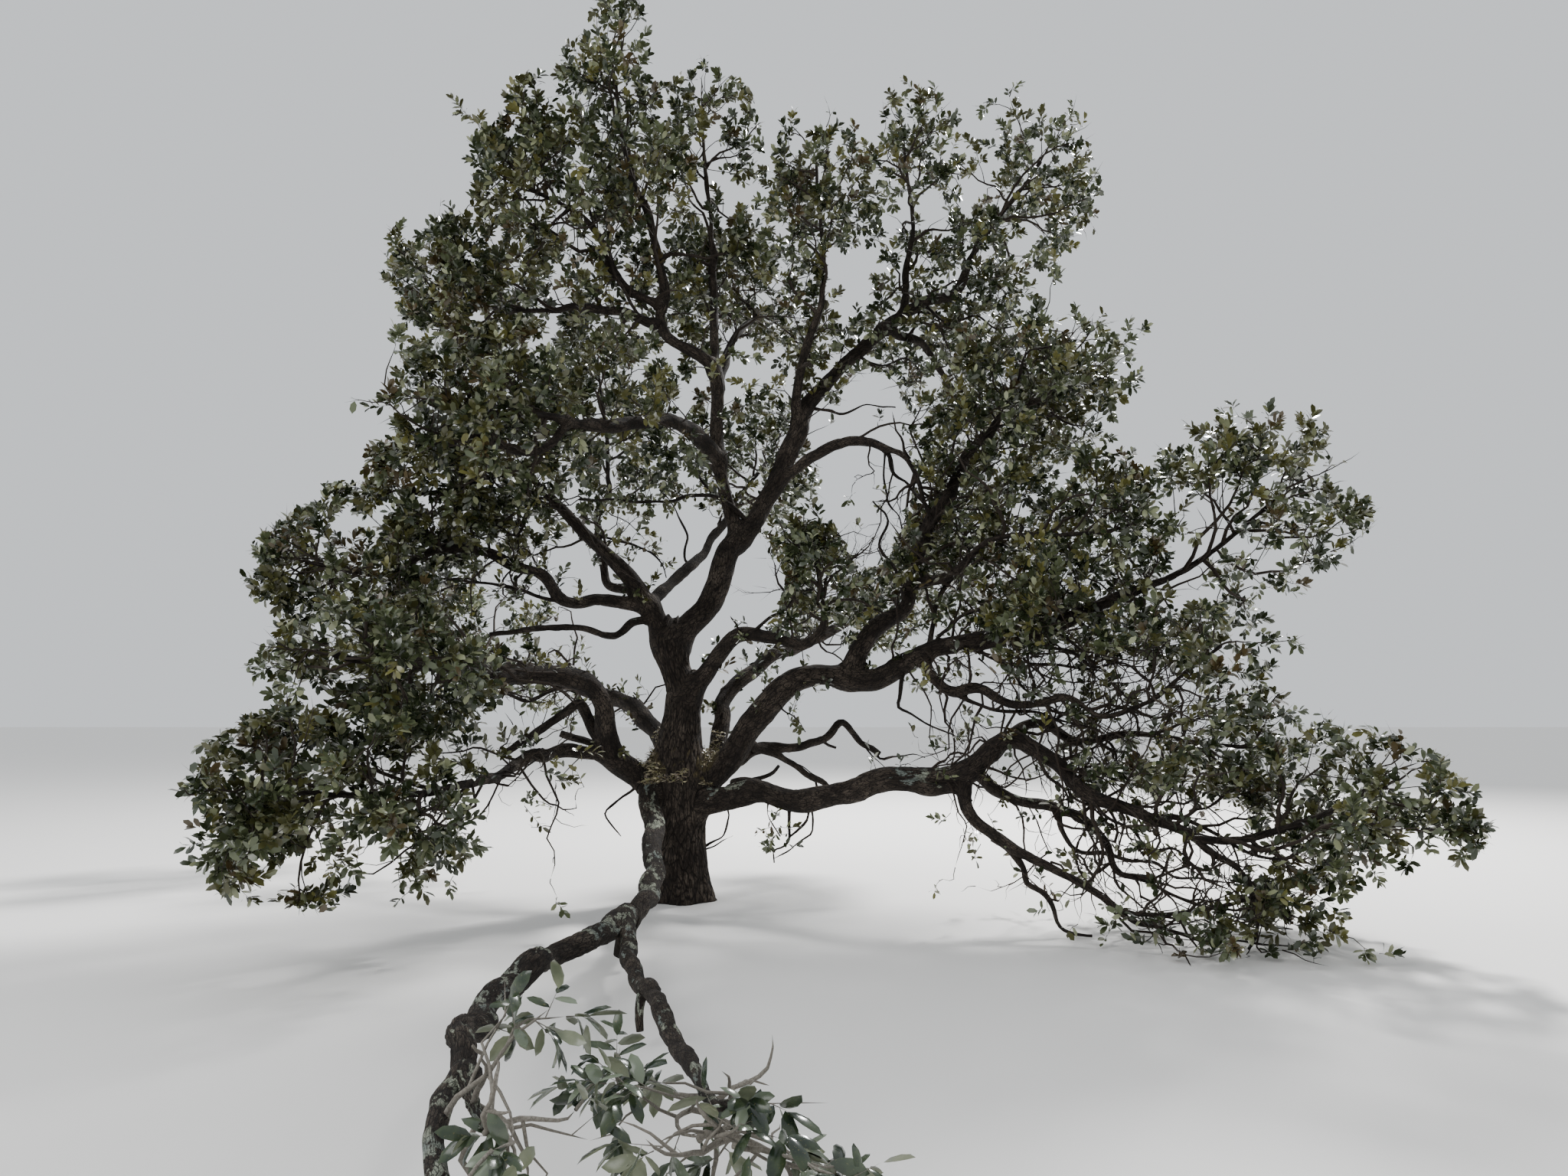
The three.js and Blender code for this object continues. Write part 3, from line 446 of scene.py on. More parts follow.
def add_borne_limb(name, parent, base, tip, bends, sections, power):
    """Adds a crooked limb through bends, from the nearest place on the limb that bears it."""
    limb, bends = limbs[parent], np.array(bends) / CM
    wood = np.vstack([limb["line"]] + ([limb["stem"]["line"]] if "stem" in limb else []))
    far = np.linalg.norm(wood - bends[0], axis=1)
    if far.min() < BORNE_WITHIN:
        bends[0] = wood[np.argmin(far)]
    line = curve_at(bends, np.linspace(0, 1, sections * len(bends) + 1))
    line = crooked(line, base / MM, len(limbs))
    add_limb(name, parent, line, base / MM, tip / MM, power)


for row in LESSER_LIMBS:
    add_borne_limb(*row, sections=30, power=TAPER_POWER)
small_names = [f"small_limb_{number + 1}" for number in range(len(SMALL_LIMBS))]
for name, row in zip(small_names, SMALL_LIMBS):
    add_borne_limb(name, *row, sections=12, power=1)

# The bark covers trunk and limbs in one skin. It is 10 to 25 mm thick on the trunk, split
# by upright furrows into narrow ridges, and thins to fine scales on the boughs. Old wood
# fills the angle where two limbs meet.
ROOTS, ROOT_TURN, ROOT_HOLLOW = 5, 0.8, 0.4
FLARE_SPREAD, FLARE_HEIGHT = 0.32, 0.17
TRUNK_FACET, TRUNK_DOME, TRUNK_LOBES = 0.0095, 0.13, 0.05
BARK_STRETCH, RING_STRETCH, FEWEST_SIDES = 5.0, 2.1, 8
JOIN_SOFTNESS, JOIN_SPAN, JOIN_STEP, JOIN_MARGIN = 1.15, 0.8, 0.012, 0.3
JOIN_ROUNDS, LEAST_SLOPE = 4, 0.35
SAME_FORK = 0.4  # limbs of one parent that start this near each other meet too
CROOK_SIZE, CROOK_STEP = 0.02, 0.27
SWELL, SWELL_STEP, SWELL_GROWTH = 0.12, 0.1, 3.5
SIDEWAYS_HINT = np.array([0.3, 0.2, 1.0])
BURL_GIRTH, BURLS_PER_METRE, BURL_HEIGHT = 0.04, 1.1, 0.35
SCALE_SIZE, SCALE_GROWTH = 0.006, 0.12
FURROW_DEPTH, FURROW_GROWTH, DEEPEST_FURROW = 0.004, 0.035, 0.012


def plates(places, seed):
    """Cells about one unit wide: 0 on the border between two and near 1 in the middle."""
    cells = np.floor(places).astype(np.int64)
    first = np.full(places.shape[:-1], 9.0)
    second = first.copy()
    for offset in np.ndindex(3, 3, 3):
        near = cells + np.array(offset) - 1
        spot = near + np.stack([scattered(near, seed + k) for k in range(3)], axis=-1)
        far = np.linalg.norm(places - spot, axis=-1)
        second = np.minimum(second, np.maximum(first, far))
        first = np.minimum(first, far)
    return second - first


def turned_along(line):
    """Two directions square to a line at each point, turned as little as can be."""
    along = unit(np.gradient(line, axis=0))
    side, sides = SIDEWAYS_HINT, []
    for way in along:
        side = side - way * (side @ way)
        side = side / np.linalg.norm(side)
        sides.append(side)
    return np.array(sides), np.cross(along, sides)


def limb_skin(limb, facet, seed):
    """Rings of points around a limb and its stem, with the way out at each."""
    line, girth, run = limb["line"], limb["girth"], limb["run"]
    if "stem" in limb:
        taper = 1 - (1 - STEM_BASE_SHARE) * smooth_step(-0.3, 0, run - run[-1])
        line = np.vstack([line, limb["stem"]["line"][1:]])
        girth = np.concatenate([girth * taper, limb["stem"]["girth"][1:]])
        run = np.concatenate([run, run[-1] + limb["stem"]["run"][1:]])
    runs = np.linspace(0, run[-1], int(run[-1] / (facet * RING_STRETCH)))
    middle, radius = along_limb(dict(line=line, run=run, girth=girth), runs)
    sides = max(FEWEST_SIDES, round(2 * math.pi * radius.mean() / facet))
    left, up = turned_along(middle)
    step = np.stack([runs / CROOK_STEP, runs * 0, runs * 0], axis=1)
    crook = np.minimum(0.55 * radius, CROOK_SIZE) * smooth_step(0.1, 0.5, runs)
    middle = middle + left * (crook * drift(step + seed, seed))[:, None]
    middle += up * (crook * drift(step - seed, seed))[:, None]
    swell_step = SWELL_STEP + SWELL_GROWTH * radius.mean()
    radius = radius * (1 + SWELL * drift(step * CROOK_STEP / swell_step, seed))
    turn = np.linspace(0, 2 * math.pi, sides, endpoint=False)
    out = (left[:, None] * np.cos(turn)[:, None] + up[:, None] * np.sin(turn)[:, None])
    return dict(points=middle[:, None] + out * radius[:, None, None], out=out,
                runs=runs, turn=turn, girth=radius.mean())


def trunk_skin(limb, facet):
    """The trunk's rings lie level, so that its foot is one flat cut at ground level."""
    share = np.linspace(0, 1, int(limb["length"] / (facet * RING_STRETCH))) ** 1.1
    middle = curve_at(TRUNK_STATIONS[:, :3], share)
    radius = curve_at(TRUNK_STATIONS[:, 3:], share)
    sides = round(2 * math.pi * radius.mean() / facet)
    turn = np.linspace(0, 2 * math.pi, sides, endpoint=False)
    root = 1 - ROOT_HOLLOW * (1 - np.cos(ROOTS * turn + ROOT_TURN))
    flare = FLARE_SPREAD * np.exp(-middle[:, 2:] / FLARE_HEIGHT)
    dome = np.linspace(0, 1, 12)[1:]
    middle = np.vstack([middle, middle[-1] + np.outer(dome, [0, 0, TRUNK_DOME])])
    radius = np.vstack([radius, radius[-1] * np.sqrt(1 - dome[:, None] ** 2)])
    flare = np.vstack([flare, np.zeros((len(dome), 1))])
    runs = middle[:, 2]
    out = np.stack([np.cos(turn), np.sin(turn), turn * 0], axis=1)[None]
    out = np.repeat(out, len(middle), axis=0)
    lobes = TRUNK_LOBES * drift(np.stack(np.broadcast_arrays(
        np.cos(turn) * 1.6, np.sin(turn) * 1.6, runs[:, None] * 2.2), axis=-1), 5)
    points = middle[:, None] + out * (radius * (1 + flare * root + lobes))[..., None]
    return dict(points=points, out=out, runs=runs, turn=turn, girth=radius.mean())


def distance_to(limb, near, places):
    """How far places lie outside a limb's girth near a point, and the way out there."""
    runs = limb["run"][np.linalg.norm(limb["line"] - near, axis=1) < JOIN_SPAN + JOIN_MARGIN]
    line, girth = along_limb(limb, np.arange(runs[0], runs[-1], JOIN_STEP))
    apart = places[:, None] - line[None]
    far = np.linalg.norm(apart, axis=2)
    best = np.argmin(far - girth, axis=1)
    row = np.arange(len(places))
    return far[row, best] - girth[best], apart[row, best] / far[row, best][:, None]


def fill_angles(name, skin):
    """Rounds the angle between limbs that meet, and sinks what lies inside another."""
    limb = limbs[name]
    places, out = skin["points"].reshape(-1, 3), skin["out"].reshape(-1, 3)
    meetings = []
    for other_name, other in limbs.items():
        starts = [other["line"][0], limb["line"][0]]
        if other["parent"] == name:
            meeting = starts[0]
        elif limb["parent"] == other_name:
            meeting = starts[1]
        elif (other is not limb and other["parent"] == limb["parent"]
              and np.linalg.norm(starts[0] - starts[1]) < SAME_FORK):
            meeting = (starts[0] + starts[1]) / 2
        else:
            continue
        near = np.linalg.norm(places - meeting, axis=1) < JOIN_SPAN
        soft = JOIN_SOFTNESS * min(
            part["girth"][np.argmin(np.linalg.norm(part["line"] - meeting, axis=1))]
            for part in (limb, other))
        if near.any():
            meetings.append((other, meeting, np.nonzero(near)[0], soft))
    first, sunk = places.copy(), np.zeros(len(places))
    for other, meeting, near, soft in meetings:
        far, _ = distance_to(other, meeting, first[near])
        inside = np.where(far < 0, far * smooth_step(0, 1.5 * soft, -far), 0)
        sunk[near] = np.minimum(sunk[near], inside)
    for _ in range(JOIN_ROUNDS if meetings else 0):
        height = np.sum((places - first) * out, axis=1)
        way = out.copy()
        for other, meeting, near, soft in meetings:
            far, outward = distance_to(other, meeting, places[near])
            own = height[near]
            blend = np.maximum(soft - np.abs(own - far), 0) / soft
            share = np.where(own < far, 1 - blend / 2, blend / 2)[:, None]
            height[near] = np.minimum(own, far) - blend**2 * soft / 4
            way[near] = share * way[near] + (1 - share) * outward
        steep = np.maximum(np.sum(way * way, axis=1), LEAST_SLOPE)
        places += way * ((sunk - height) / steep)[:, None]


def furrow(skin, facet, seed):
    """Splits the bark into ridges, and gives each point its place in the grain."""
    points, out, girth = skin["points"], skin["out"], skin["girth"]
    turn, runs = skin["turn"], skin["runs"][:, None]
    grain = np.stack(np.broadcast_arrays(
        girth * np.cos(turn), girth * np.sin(turn), runs / BARK_STRETCH), axis=-1)
    place = grain / max(3.3 * facet, SCALE_SIZE + SCALE_GROWTH * girth)
    place = place + 0.4 * np.stack([drift(place * 0.7, seed + k) for k in range(3)], -1)
    skin["ridge"] = smooth_step(0.02, 0.3, plates(place, seed))
    depth = min(DEEPEST_FURROW, FURROW_DEPTH + FURROW_GROWTH * girth)
    lump = 0.25 * girth * drift(grain / (2.2 * girth + 0.02), seed + 9) * 0.35
    lift = depth * (skin["ridge"] - 0.6) + 0.25 * depth * drift(place * 2.7, seed) + lump
    rng = np.random.default_rng(seed)
    for _ in range(int(BURLS_PER_METRE * skin["runs"][-1]) if girth > BURL_GIRTH else 0):
        row, column = rng.integers(len(points)), rng.integers(len(turn))
        far = np.linalg.norm(points - points[row, column], axis=-1)
        size = girth * rng.uniform(0.3, 0.6)
        lift = lift + BURL_HEIGHT * size * np.exp(-((far / size) ** 2))
    skin["points"] = points + out * lift[..., None]
    skin["grain"] = grain / (0.008 + 0.09 * girth) + seed * 7.3


def tube_faces(rings, sides, foot=True):
    """Triangles of a tube: rings of points, then one at its foot if closed and at its tip."""
    ring, side = np.meshgrid(np.arange(rings - 1), np.arange(sides), indexing="ij")
    a, b = ring * sides + side, ring * sides + (side + 1) % sides
    rim, after = np.arange(sides), (np.arange(sides) + 1) % sides
    last, end = (rings - 1) * sides, rings * sides
    faces = [(a, b, b + sides), (a, b + sides, a + sides)]
    faces += [(after, rim, rim * 0 + end)] * foot
    faces += [(last + rim, last + after, rim * 0 + end + foot)]
    return np.concatenate([np.stack(part, axis=-1).reshape(-1, 3) for part in faces])


def joined(parts):
    """Several meshes, each its points and its faces, as one."""
    starts = np.cumsum([0] + [len(points) for points, _ in parts])
    return (np.vstack([points for points, _ in parts]),
            np.vstack([faces + start for (_, faces), start in zip(parts, starts)]))


def add_piece(name, points, faces, materials, slots=None, attributes=()):
    """A smooth mesh of triangles that rides on the tree's one body, none of it in the soil."""
    points = np.maximum(points, [-np.inf, -np.inf, 0])
    mesh = bpy.data.meshes.new(name)
    mesh.vertices.add(len(points))
    mesh.vertices.foreach_set("co", np.ascontiguousarray(points, np.float32).ravel())
    mesh.loops.add(faces.size)
    mesh.loops.foreach_set("vertex_index", faces.ravel().astype(np.int32))
    mesh.polygons.add(len(faces))
    mesh.polygons.foreach_set("loop_start", np.arange(0, faces.size, 3, dtype=np.int32))
    mesh.polygons.foreach_set("use_smooth", np.ones(len(faces), bool))
    for material in materials:
        mesh.materials.append(material)
    if slots is not None:
        mesh.polygons.foreach_set("material_index", slots.astype(np.int32))
    for key, values in dict(attributes).items():
        kind, field = (("FLOAT_VECTOR", "vector") if values.ndim == 2 else ("FLOAT", "value"))
        made = mesh.attributes.new(key, kind, "POINT")
        made.data.foreach_set(field, np.ascontiguousarray(values, np.float32).ravel())
    mesh.update(calc_edges=True)
    piece = bpy.data.objects.new(name, mesh)
    bpy.context.scene.collection.objects.link(piece)
    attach(piece, "root")
    return piece


def set_inputs(tree, made, inputs):
    """Gives a node's inputs their values, or links the sockets that feed them."""
    for key, value in dict(inputs).items():
        if isinstance(value, bpy.types.NodeSocket):
            tree.links.new(value, made.inputs[key])
        else:
            made.inputs[key].default_value = value


def node(tree, kind, inputs=(), output=0, **settings):
    """One output of a new shader node."""
    made = tree.nodes.new("ShaderNode" + kind)
    for key, value in settings.items():
        setattr(made, key, value)
    set_inputs(tree, made, inputs)
    return made.outputs[output]


def maths(tree, operation, first, second):
    return node(tree, "Math", {0: first, 1: second}, operation=operation)


def mixed(tree, share, first, second):
    return node(tree, "Mix", {0: share, 6: first, 7: second}, 2, data_type="RGBA")


def ramp(tree, value, low, high):
    """0 up to low, 1 from high on, and a smooth step between them."""
    return node(tree, "MapRange", {0: value, 1: low, 2: high}, clamp=True,
                interpolation_type="SMOOTHSTEP")


def noise(tree, place, scale, detail, roughness=0.5, output="Fac"):
    return node(tree, "TexNoise", {"Vector": place, "Scale": scale, "Detail": detail,
                                   "Roughness": roughness}, output)


def colour(code):
    """A colour code as Blender's linear colour."""
    parts = [int(code[k:k + 2], 16) / 255 for k in (1, 3, 5)]
    return [((p + 0.055) / 1.055) ** 2.4 if p > 0.04045 else p / 12.92 for p in parts] + [1]


# One effect for all bark: dark cracks between scales along the grain, weathered crests,
# grey-green lichen in patches, and moss and mould where litter gathers.
bark_effect = tree = bpy.data.node_groups.new("weathered bark", "ShaderNodeTree")
for side, sockets in (
        ("INPUT", {"Grain": "Vector", "Ridge": "Float", "Lichen": "Float", "Moss": "Float",
                   "Furrow colour": "Color", "Ridge colour": "Color",
                   "Crest colour": "Color"}),
        ("OUTPUT", {"Colour": "Color", "Roughness": "Float", "Height": "Float"})):
    for name, kind in sockets.items():
        tree.interface.new_socket(name, in_out=side, socket_type="NodeSocket" + kind)
given = tree.nodes.new("NodeGroupInput").outputs
grain = given["Grain"]
place = node(tree, "TexCoord", output="Object")
warp = noise(tree, grain, 0.9, 2.0, output="Color")
bent = node(tree, "VectorMath", {0: warp, 1: (0.5, 0.5, 0.5), 2: grain},
            operation="MULTIPLY_ADD")
scales, flakes = (node(tree, "TexVoronoi", {"Vector": bent, "Scale": scale}, "Distance",
                       feature="DISTANCE_TO_EDGE") for scale in (1.0, 2.7))
fine = noise(tree, grain, 5.5, 5.0, 0.65)
broad = noise(tree, place, 4.5, 3.0)
cracked = ramp(tree, scales, 0.0, 0.13)
flaked = ramp(tree, flakes, 0.0, 0.2)
solid = maths(tree, "MULTIPLY", cracked, ramp(tree, given["Ridge"], -0.5, 0.9))
solid = maths(tree, "MULTIPLY", solid,
              maths(tree, "ADD", 0.45, maths(tree, "MULTIPLY", flaked, 0.55)))
crest = maths(tree, "MULTIPLY", solid, ramp(tree, maths(tree, "ADD", fine, broad), 0.9, 1.3))
tone = mixed(tree, solid, given["Furrow colour"], given["Ridge colour"])
tone = mixed(tree, crest, tone, given["Crest colour"])
spread = node(tree, "VectorMath", {0: grain, 1: (0.24, 0.24, 0.55)}, operation="MULTIPLY")
spots = noise(tree, spread, 1.0, 6.0, 0.64)
hues = noise(tree, place, 3.0, 2.0)
lichen_at = maths(tree, "SUBTRACT", 0.745, maths(tree, "MULTIPLY", given["Lichen"], 0.235))
patch = ramp(tree, maths(tree, "SUBTRACT", spots, lichen_at), 0.0, 0.05)
patch = maths(tree, "MULTIPLY", patch, ramp(tree, solid, -0.3, 0.6))
lichen = mixed(tree, ramp(tree, hues, 0.42, 0.58), colour("#a3a795"), colour("#828b86"))
lichen = mixed(tree, ramp(tree, fine, 0.32, 0.62), colour("#4c524b"), lichen)
tone = mixed(tree, patch, tone, lichen)
mossy = maths(tree, "MULTIPLY", given["Moss"],
              ramp(tree, maths(tree, "ADD", spots, given["Moss"]), 0.7, 1.1))
moss = mixed(tree, ramp(tree, fine, 0.4, 0.62), colour("#322c1d"), colour("#5c5238"))
height = maths(tree, "MULTIPLY", cracked, 0.55)
for part, share in ((flaked, 0.2), (fine, 0.35), (patch, 0.2)):
    height = maths(tree, "ADD", height, maths(tree, "MULTIPLY", part, share))
set_inputs(tree, tree.nodes.new("NodeGroupOutput"), {
    "Colour": mixed(tree, mossy, tone, moss),
    "Roughness": maths(tree, "SUBTRACT", 0.96, maths(tree, "MULTIPLY", crest, 0.2)),
    "Height": height})


def new_material(name):
    """A new material, its node tree and the node of its surface."""
    material = bpy.data.materials.new(name)
    material.use_nodes = True
    return material, material.node_tree, material.node_tree.nodes["Principled BSDF"]


def bark_material(name, furrows, ridges, crests, strength, reach, grain=None):
    """A material of the bark effect, with the mesh's own grain or a plain scale for it."""
    material, tree, surface = new_material(name)
    inputs = {"Furrow colour": colour(furrows), "Ridge colour": colour(ridges),
              "Crest colour": colour(crests)}
    if grain is None:
        inputs["Grain"] = node(tree, "Attribute", output="Vector", attribute_name="grain")
        for key in ("Ridge", "Lichen", "Moss"):
            inputs[key] = node(tree, "Attribute", output="Fac", attribute_name=key.lower())
    else:
        place = node(tree, "TexCoord", output="Object")
        inputs["Grain"] = node(tree, "VectorMath", {0: place, "Scale": grain},
                               operation="SCALE")
    effect = node(tree, "Group", inputs, node_tree=bark_effect).node.outputs
    bump = node(tree, "Bump", {"Height": effect["Height"], "Strength": strength,
                               "Distance": reach}, "Normal")
    set_inputs(tree, surface, {
        "Base Color": effect["Colour"], "Roughness": effect["Roughness"], "Normal": bump,
        "Specular IOR Level": 0.25})
    return material


old_bark = bark_material("old_bark", "#15110f", "#332c26", "#5f554b", 0.9, 0.006)
LICHEN = {"front_limb": 1.5, "front_fork_limb": 1.4, "low_right_bough": 0.75,
          "right_skirt_limb": 0.75, "drop_limb": 0.6, "left_bough": 0.5, "trunk": 0.2,
          "top_leader": 0.1, "heavy_front_limb": 0.05}
USUAL_LICHEN = 0.25
MOSS_FROM, MOSS_TO, MOSS_SPREAD, MOSS_SLOPE = 0.95, 1.42, 0.42, 0.1
THICK_LIMB, THICK_FACET, THIN_FACET = 0.07, 0.014, 0.0135
FACETS = dict.fromkeys(small_names, 0.018) | {"trunk": TRUNK_FACET, "front_limb": 0.01}

names = list(limbs)
low_names = ["trunk"] + names[names.index("low_right_bough"):names.index("low_left_arm")]
for piece_name, chosen in [
        ("trunk_and_low_boughs", low_names),
        ("upper_boughs", [name for name in names if name not in low_names])]:
    parts, values = [], {"grain": [], "ridge": [], "lichen": []}
    for name in chosen:
        limb, seed = limbs[name], names.index(name) + 1
        usual = THICK_FACET if limb["girth"].mean() > THICK_LIMB else THIN_FACET
        facet = FACETS.get(name, usual)
        skin = (trunk_skin(limb, facet) if name == "trunk"
                else limb_skin(limb, facet, seed))
        fill_angles(name, skin)
        furrow(skin, facet, seed)
        if name == "trunk":
            skin["points"][0, :, 2] = 0
        rings, sides = skin["points"].shape[:2]
        ends = skin["points"][[0, -1]].mean(axis=1)
        parts.append((np.vstack([skin["points"].reshape(-1, 3), ends]),
                      tube_faces(rings, sides)))
        skin["lichen"] = np.full((rings, 1), LICHEN.get(
            name, LICHEN.get(limb["parent"], USUAL_LICHEN)))
        if name == "front_limb":
            skin["lichen"] *= 0.8 + 0.2 * smooth_step(1.2, 2.6, skin["runs"])[:, None]
        for key in values:
            value = np.broadcast_to(skin[key], (rings, sides) + skin[key].shape[2:])
            flat = value.reshape((rings * sides,) + value.shape[2:])
            values[key].append(np.concatenate([flat, flat[[0, -1]]]))
    points, faces = joined(parts)
    values = {key: np.concatenate(value) for key, value in values.items()}
    values["lichen"] = values["lichen"] * (0.62 + 1.1 * drift(points * 2.1, 3))
    spread = np.linalg.norm(points[:, :2], axis=1)
    values["moss"] = (smooth_step(MOSS_FROM, MOSS_FROM + 0.1, points[:, 2])
                      * smooth_step(-MOSS_TO, 0.15 - MOSS_TO, -points[:, 2])
                      * smooth_step(-MOSS_SPREAD, 0.2 - MOSS_SPREAD, -spread))
    piece = add_piece(piece_name, points, faces, [old_bark], attributes=values)
    normals = np.empty(points.size, np.float32)
    piece.data.vertices.foreach_get("normal", normals)
    values["moss"] *= smooth_step(MOSS_SLOPE, MOSS_SLOPE + 0.4, normals[2::3])
    values["lichen"] *= 0.45 + 0.65 * smooth_step(-0.3, 0.8, normals[2::3])
    for key in ("moss", "lichen"):
        piece.data.attributes[key].data.foreach_set(
            "value", values[key].clip(0, 1).astype(np.float32))
    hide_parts(*[name for name in chosen if name in frame["nodes"]])

# Leafy wood: each mass grows by the source's rule. Twigs leave the stem, each turned on
# from the last by the golden angle, and here side twigs and leafy shoots leave those by the
# same rule, within the same space.
TWIGS_IN_MASS, FIRST_TWIG, LEAF_DRAWS = 6, 0.12, 12
TWIG_TILT, TWIG_TILT_SPREAD, TWIG_GIRTH = math.radians(62), 0.4, 0.018
LONGEST_TWIG, SHORTEST_TWIG, TWIG_SHARE = 2.0, 0.15, 0.9
EXTRA_TWIGS, EXTRA_FIRST, EXTRA_SPAN, EXTRA_TURN = 8, 0.08, 0.9, 1.7
EXTRA_TILT = (0.6, 1.35)
HABITS = {  # kind of twig: steps in its line, how much it turns at each, how far it lifts
    "main": (8, 0.27, 0.03), "limb": (8, 0.33, 0.07), "side": (4, 0.32, 0.05),
    "shoot": (1, 0.12, 0.12), "wanderer": (10, 0.36, -0.02), "bare": (5, 0.36, 0),
    "sprout": (4, 0.3, 0.05), "filler": (6, 0.3, 0.05)}
GOLDEN_ANGLE = math.radians(137.5)
CLEAR_OF_GROUND, LITTLE_CLEAR = 0.03, 0.01
PROBE_STEP, COVER_STEP, LIMB_SAMPLE_STEP = 0.03, 0.05, 0.03
COVER_FALL, FAINT_COVER, BACK_COVER = 1.2, 0.42, 0.004
SEEN_LIMB, HIDING_MARGIN = 0.014, 0.03
EYE = (0.89, -10.0, 1.6)  # where the photograph was taken
OPENINGS = [  # seen at the trunk: middle across and up, half width and half height
    (1.66, 3.81, 0.37, 0.91), (0.37, 2.78, 0.52, 0.42),
    (-0.61, 3.06, 0.31, 0.43), (1.75, 1.54, 0.53, 0.33),
]
THIN_PLACES = [  # the same, and the share of the shoots that bear leaves there
    (3.95, 0.42, 1.25, 0.55, 0.13), (3.5, 1.66, 1.3, 0.52, 0.12), (-0.8, 3.95, 0.6, 0.5, 0.7),
    (2.2, 4.0, 0.8, 0.6, 0.7),
]


def even_numbers(seed):
    """The source's own random numbers, so that its six twigs come out the same here."""
    state = seed * 2654435761
    while True:
        state = (state + 0x6D2B79F5) & WHOLE
        value = ((state ^ state >> 15) * (1 | state)) & WHOLE
        value = ((value + (((value ^ value >> 7) * (61 | value)) & WHOLE)) ^ value) & WHOLE
        yield (value ^ value >> 14) / (WHOLE + 1)


def tilted(along, tilt, around):
    """Directions tilted away from others and turned around them."""
    side = unit(SIDEWAYS_HINT - along * (along @ SIDEWAYS_HINT)[:, None])
    up = np.cross(along, side)
    return (along * np.cos(tilt)[:, None]
            + (side * np.cos(around)[:, None] + up * np.sin(around)[:, None])
            * np.sin(tilt)[:, None])


def probed(starts, ways, longest, step, fits):
    """How far straight shoots can run, in steps, before a place no longer fits."""
    probes = np.arange(1, round(longest / step) + 1) * step
    good = fits(starts[:, None] + ways[:, None] * probes[:, None])
    good = np.concatenate([good, np.zeros((len(good), 1), bool)], axis=1)
    return np.argmin(good, axis=1) * step


def room_along(twigs, longest, mingle):
    """How far straight shoots can run before they leave the space of their mass."""
    owners = twigs["owners"][:, None, None]

    def fits(places):
        depths = np.linalg.norm((places[:, :, None] - MIDDLES) / REACHES, axis=-1)
        own = np.take_along_axis(depths, owners, axis=2)[..., 0]
        np.put_along_axis(depths, owners, np.inf, axis=2)
        return ((own <= 1) & (places[..., 2] > CLEAR_OF_GROUND)
                & (depths.min(axis=2) > own - mingle))

    return probed(twigs["starts"], twigs["ways"], longest, PROBE_STEP, fits)


def cover(places):
    """How well the masses' spaces cover a place, which also bridges the gap between two."""
    depths = np.sum(((places[..., None, :] - MIDDLES) / REACHES) ** 2, axis=-1)
    return np.exp(COVER_FALL * (1 - depths)).sum(axis=-1)


def seen_at_trunk(places):
    """Where places appear from the photograph's side, across and up at the trunk's depth."""
    size = EYE[1] / (EYE[1] - places[..., 1])
    return [EYE[k] + (places[..., k] - EYE[k]) * size for k in (0, 2)]


def in_opening(places):
    """Whether a place, seen from the photograph's side, lies in an opening to the sky."""
    across, high = seen_at_trunk(places)
    return np.any([((across - x) / a) ** 2 + ((high - z) / b) ** 2 < 1
                   for x, z, a, b in OPENINGS], axis=0)


def share_kept(places):
    """The share of the shoots that bear leaves, which is less in the thin places."""
    across, high = seen_at_trunk(places)
    share = np.ones(len(across))
    for x, z, a, b, thin in THIN_PLACES:
        far = ((across - x) / a) ** 2 + ((high - z) / b) ** 2
        share = np.minimum(share, thin + (1 - thin) * smooth_step(0.7, 1.2, far))
    return share


def covered(places):
    """Whether the crown covers a place well enough, which takes less low at the back."""
    back = smooth_step(0.7, 1.5, places[..., 1]) * smooth_step(-3.2, -2.4, -places[..., 2])
    return cover(places) > FAINT_COVER - (FAINT_COVER - BACK_COVER) * back


def covered_room(twigs, longest):
    """How far straight shoots can run before they leave the crown."""
    return probed(twigs["starts"], twigs["ways"], longest, COVER_STEP, lambda places: (
        covered(places) & ~in_opening(places) & (places[..., 2] > CLEAR_OF_GROUND)))


def picked(table, kept):
    return {key: value[kept] for key, value in table.items()}


def stacked(tables):
    return {key: np.concatenate([table[key] for table in tables]) for key in tables[0]}


def grow(twigs, girths, habit, **facts):
    """Crooked twigs that turn a little at each step and lift towards the light."""
    steps, crook, lift = HABITS[habit]
    way = unit(twigs["ways"])
    line = [twigs["starts"]]
    for _ in range(steps):
        way = unit(way + rng.normal(0, crook, way.shape) + [0, 0, lift])
        line.append(line[-1] + way * (twigs["lengths"] / steps)[:, None])
    facts = {key: np.full(len(way), value) for key, value in facts.items()}
    return dict(twigs, line=np.stack(line, axis=1), girths=np.full(len(way), girths), **facts)


def numbered(count):
    """For all that a set of parents bear: the parent, and the number among its siblings."""
    parent = np.repeat(np.arange(len(count)), count)
    return parent, np.arange(count.sum()) - np.repeat(np.cumsum(count) - count, count)


def on_lines(lines, share):
    """The place and direction at a share of each line."""
    spans = lines.shape[1] - 1
    span = np.minimum((share * spans).astype(int), spans - 1)
    part = (share * spans - span)[:, None]
    row = np.arange(len(lines))
    start, end = lines[row, span], lines[row, span + 1]
    return start + (end - start) * part, unit(end - start)


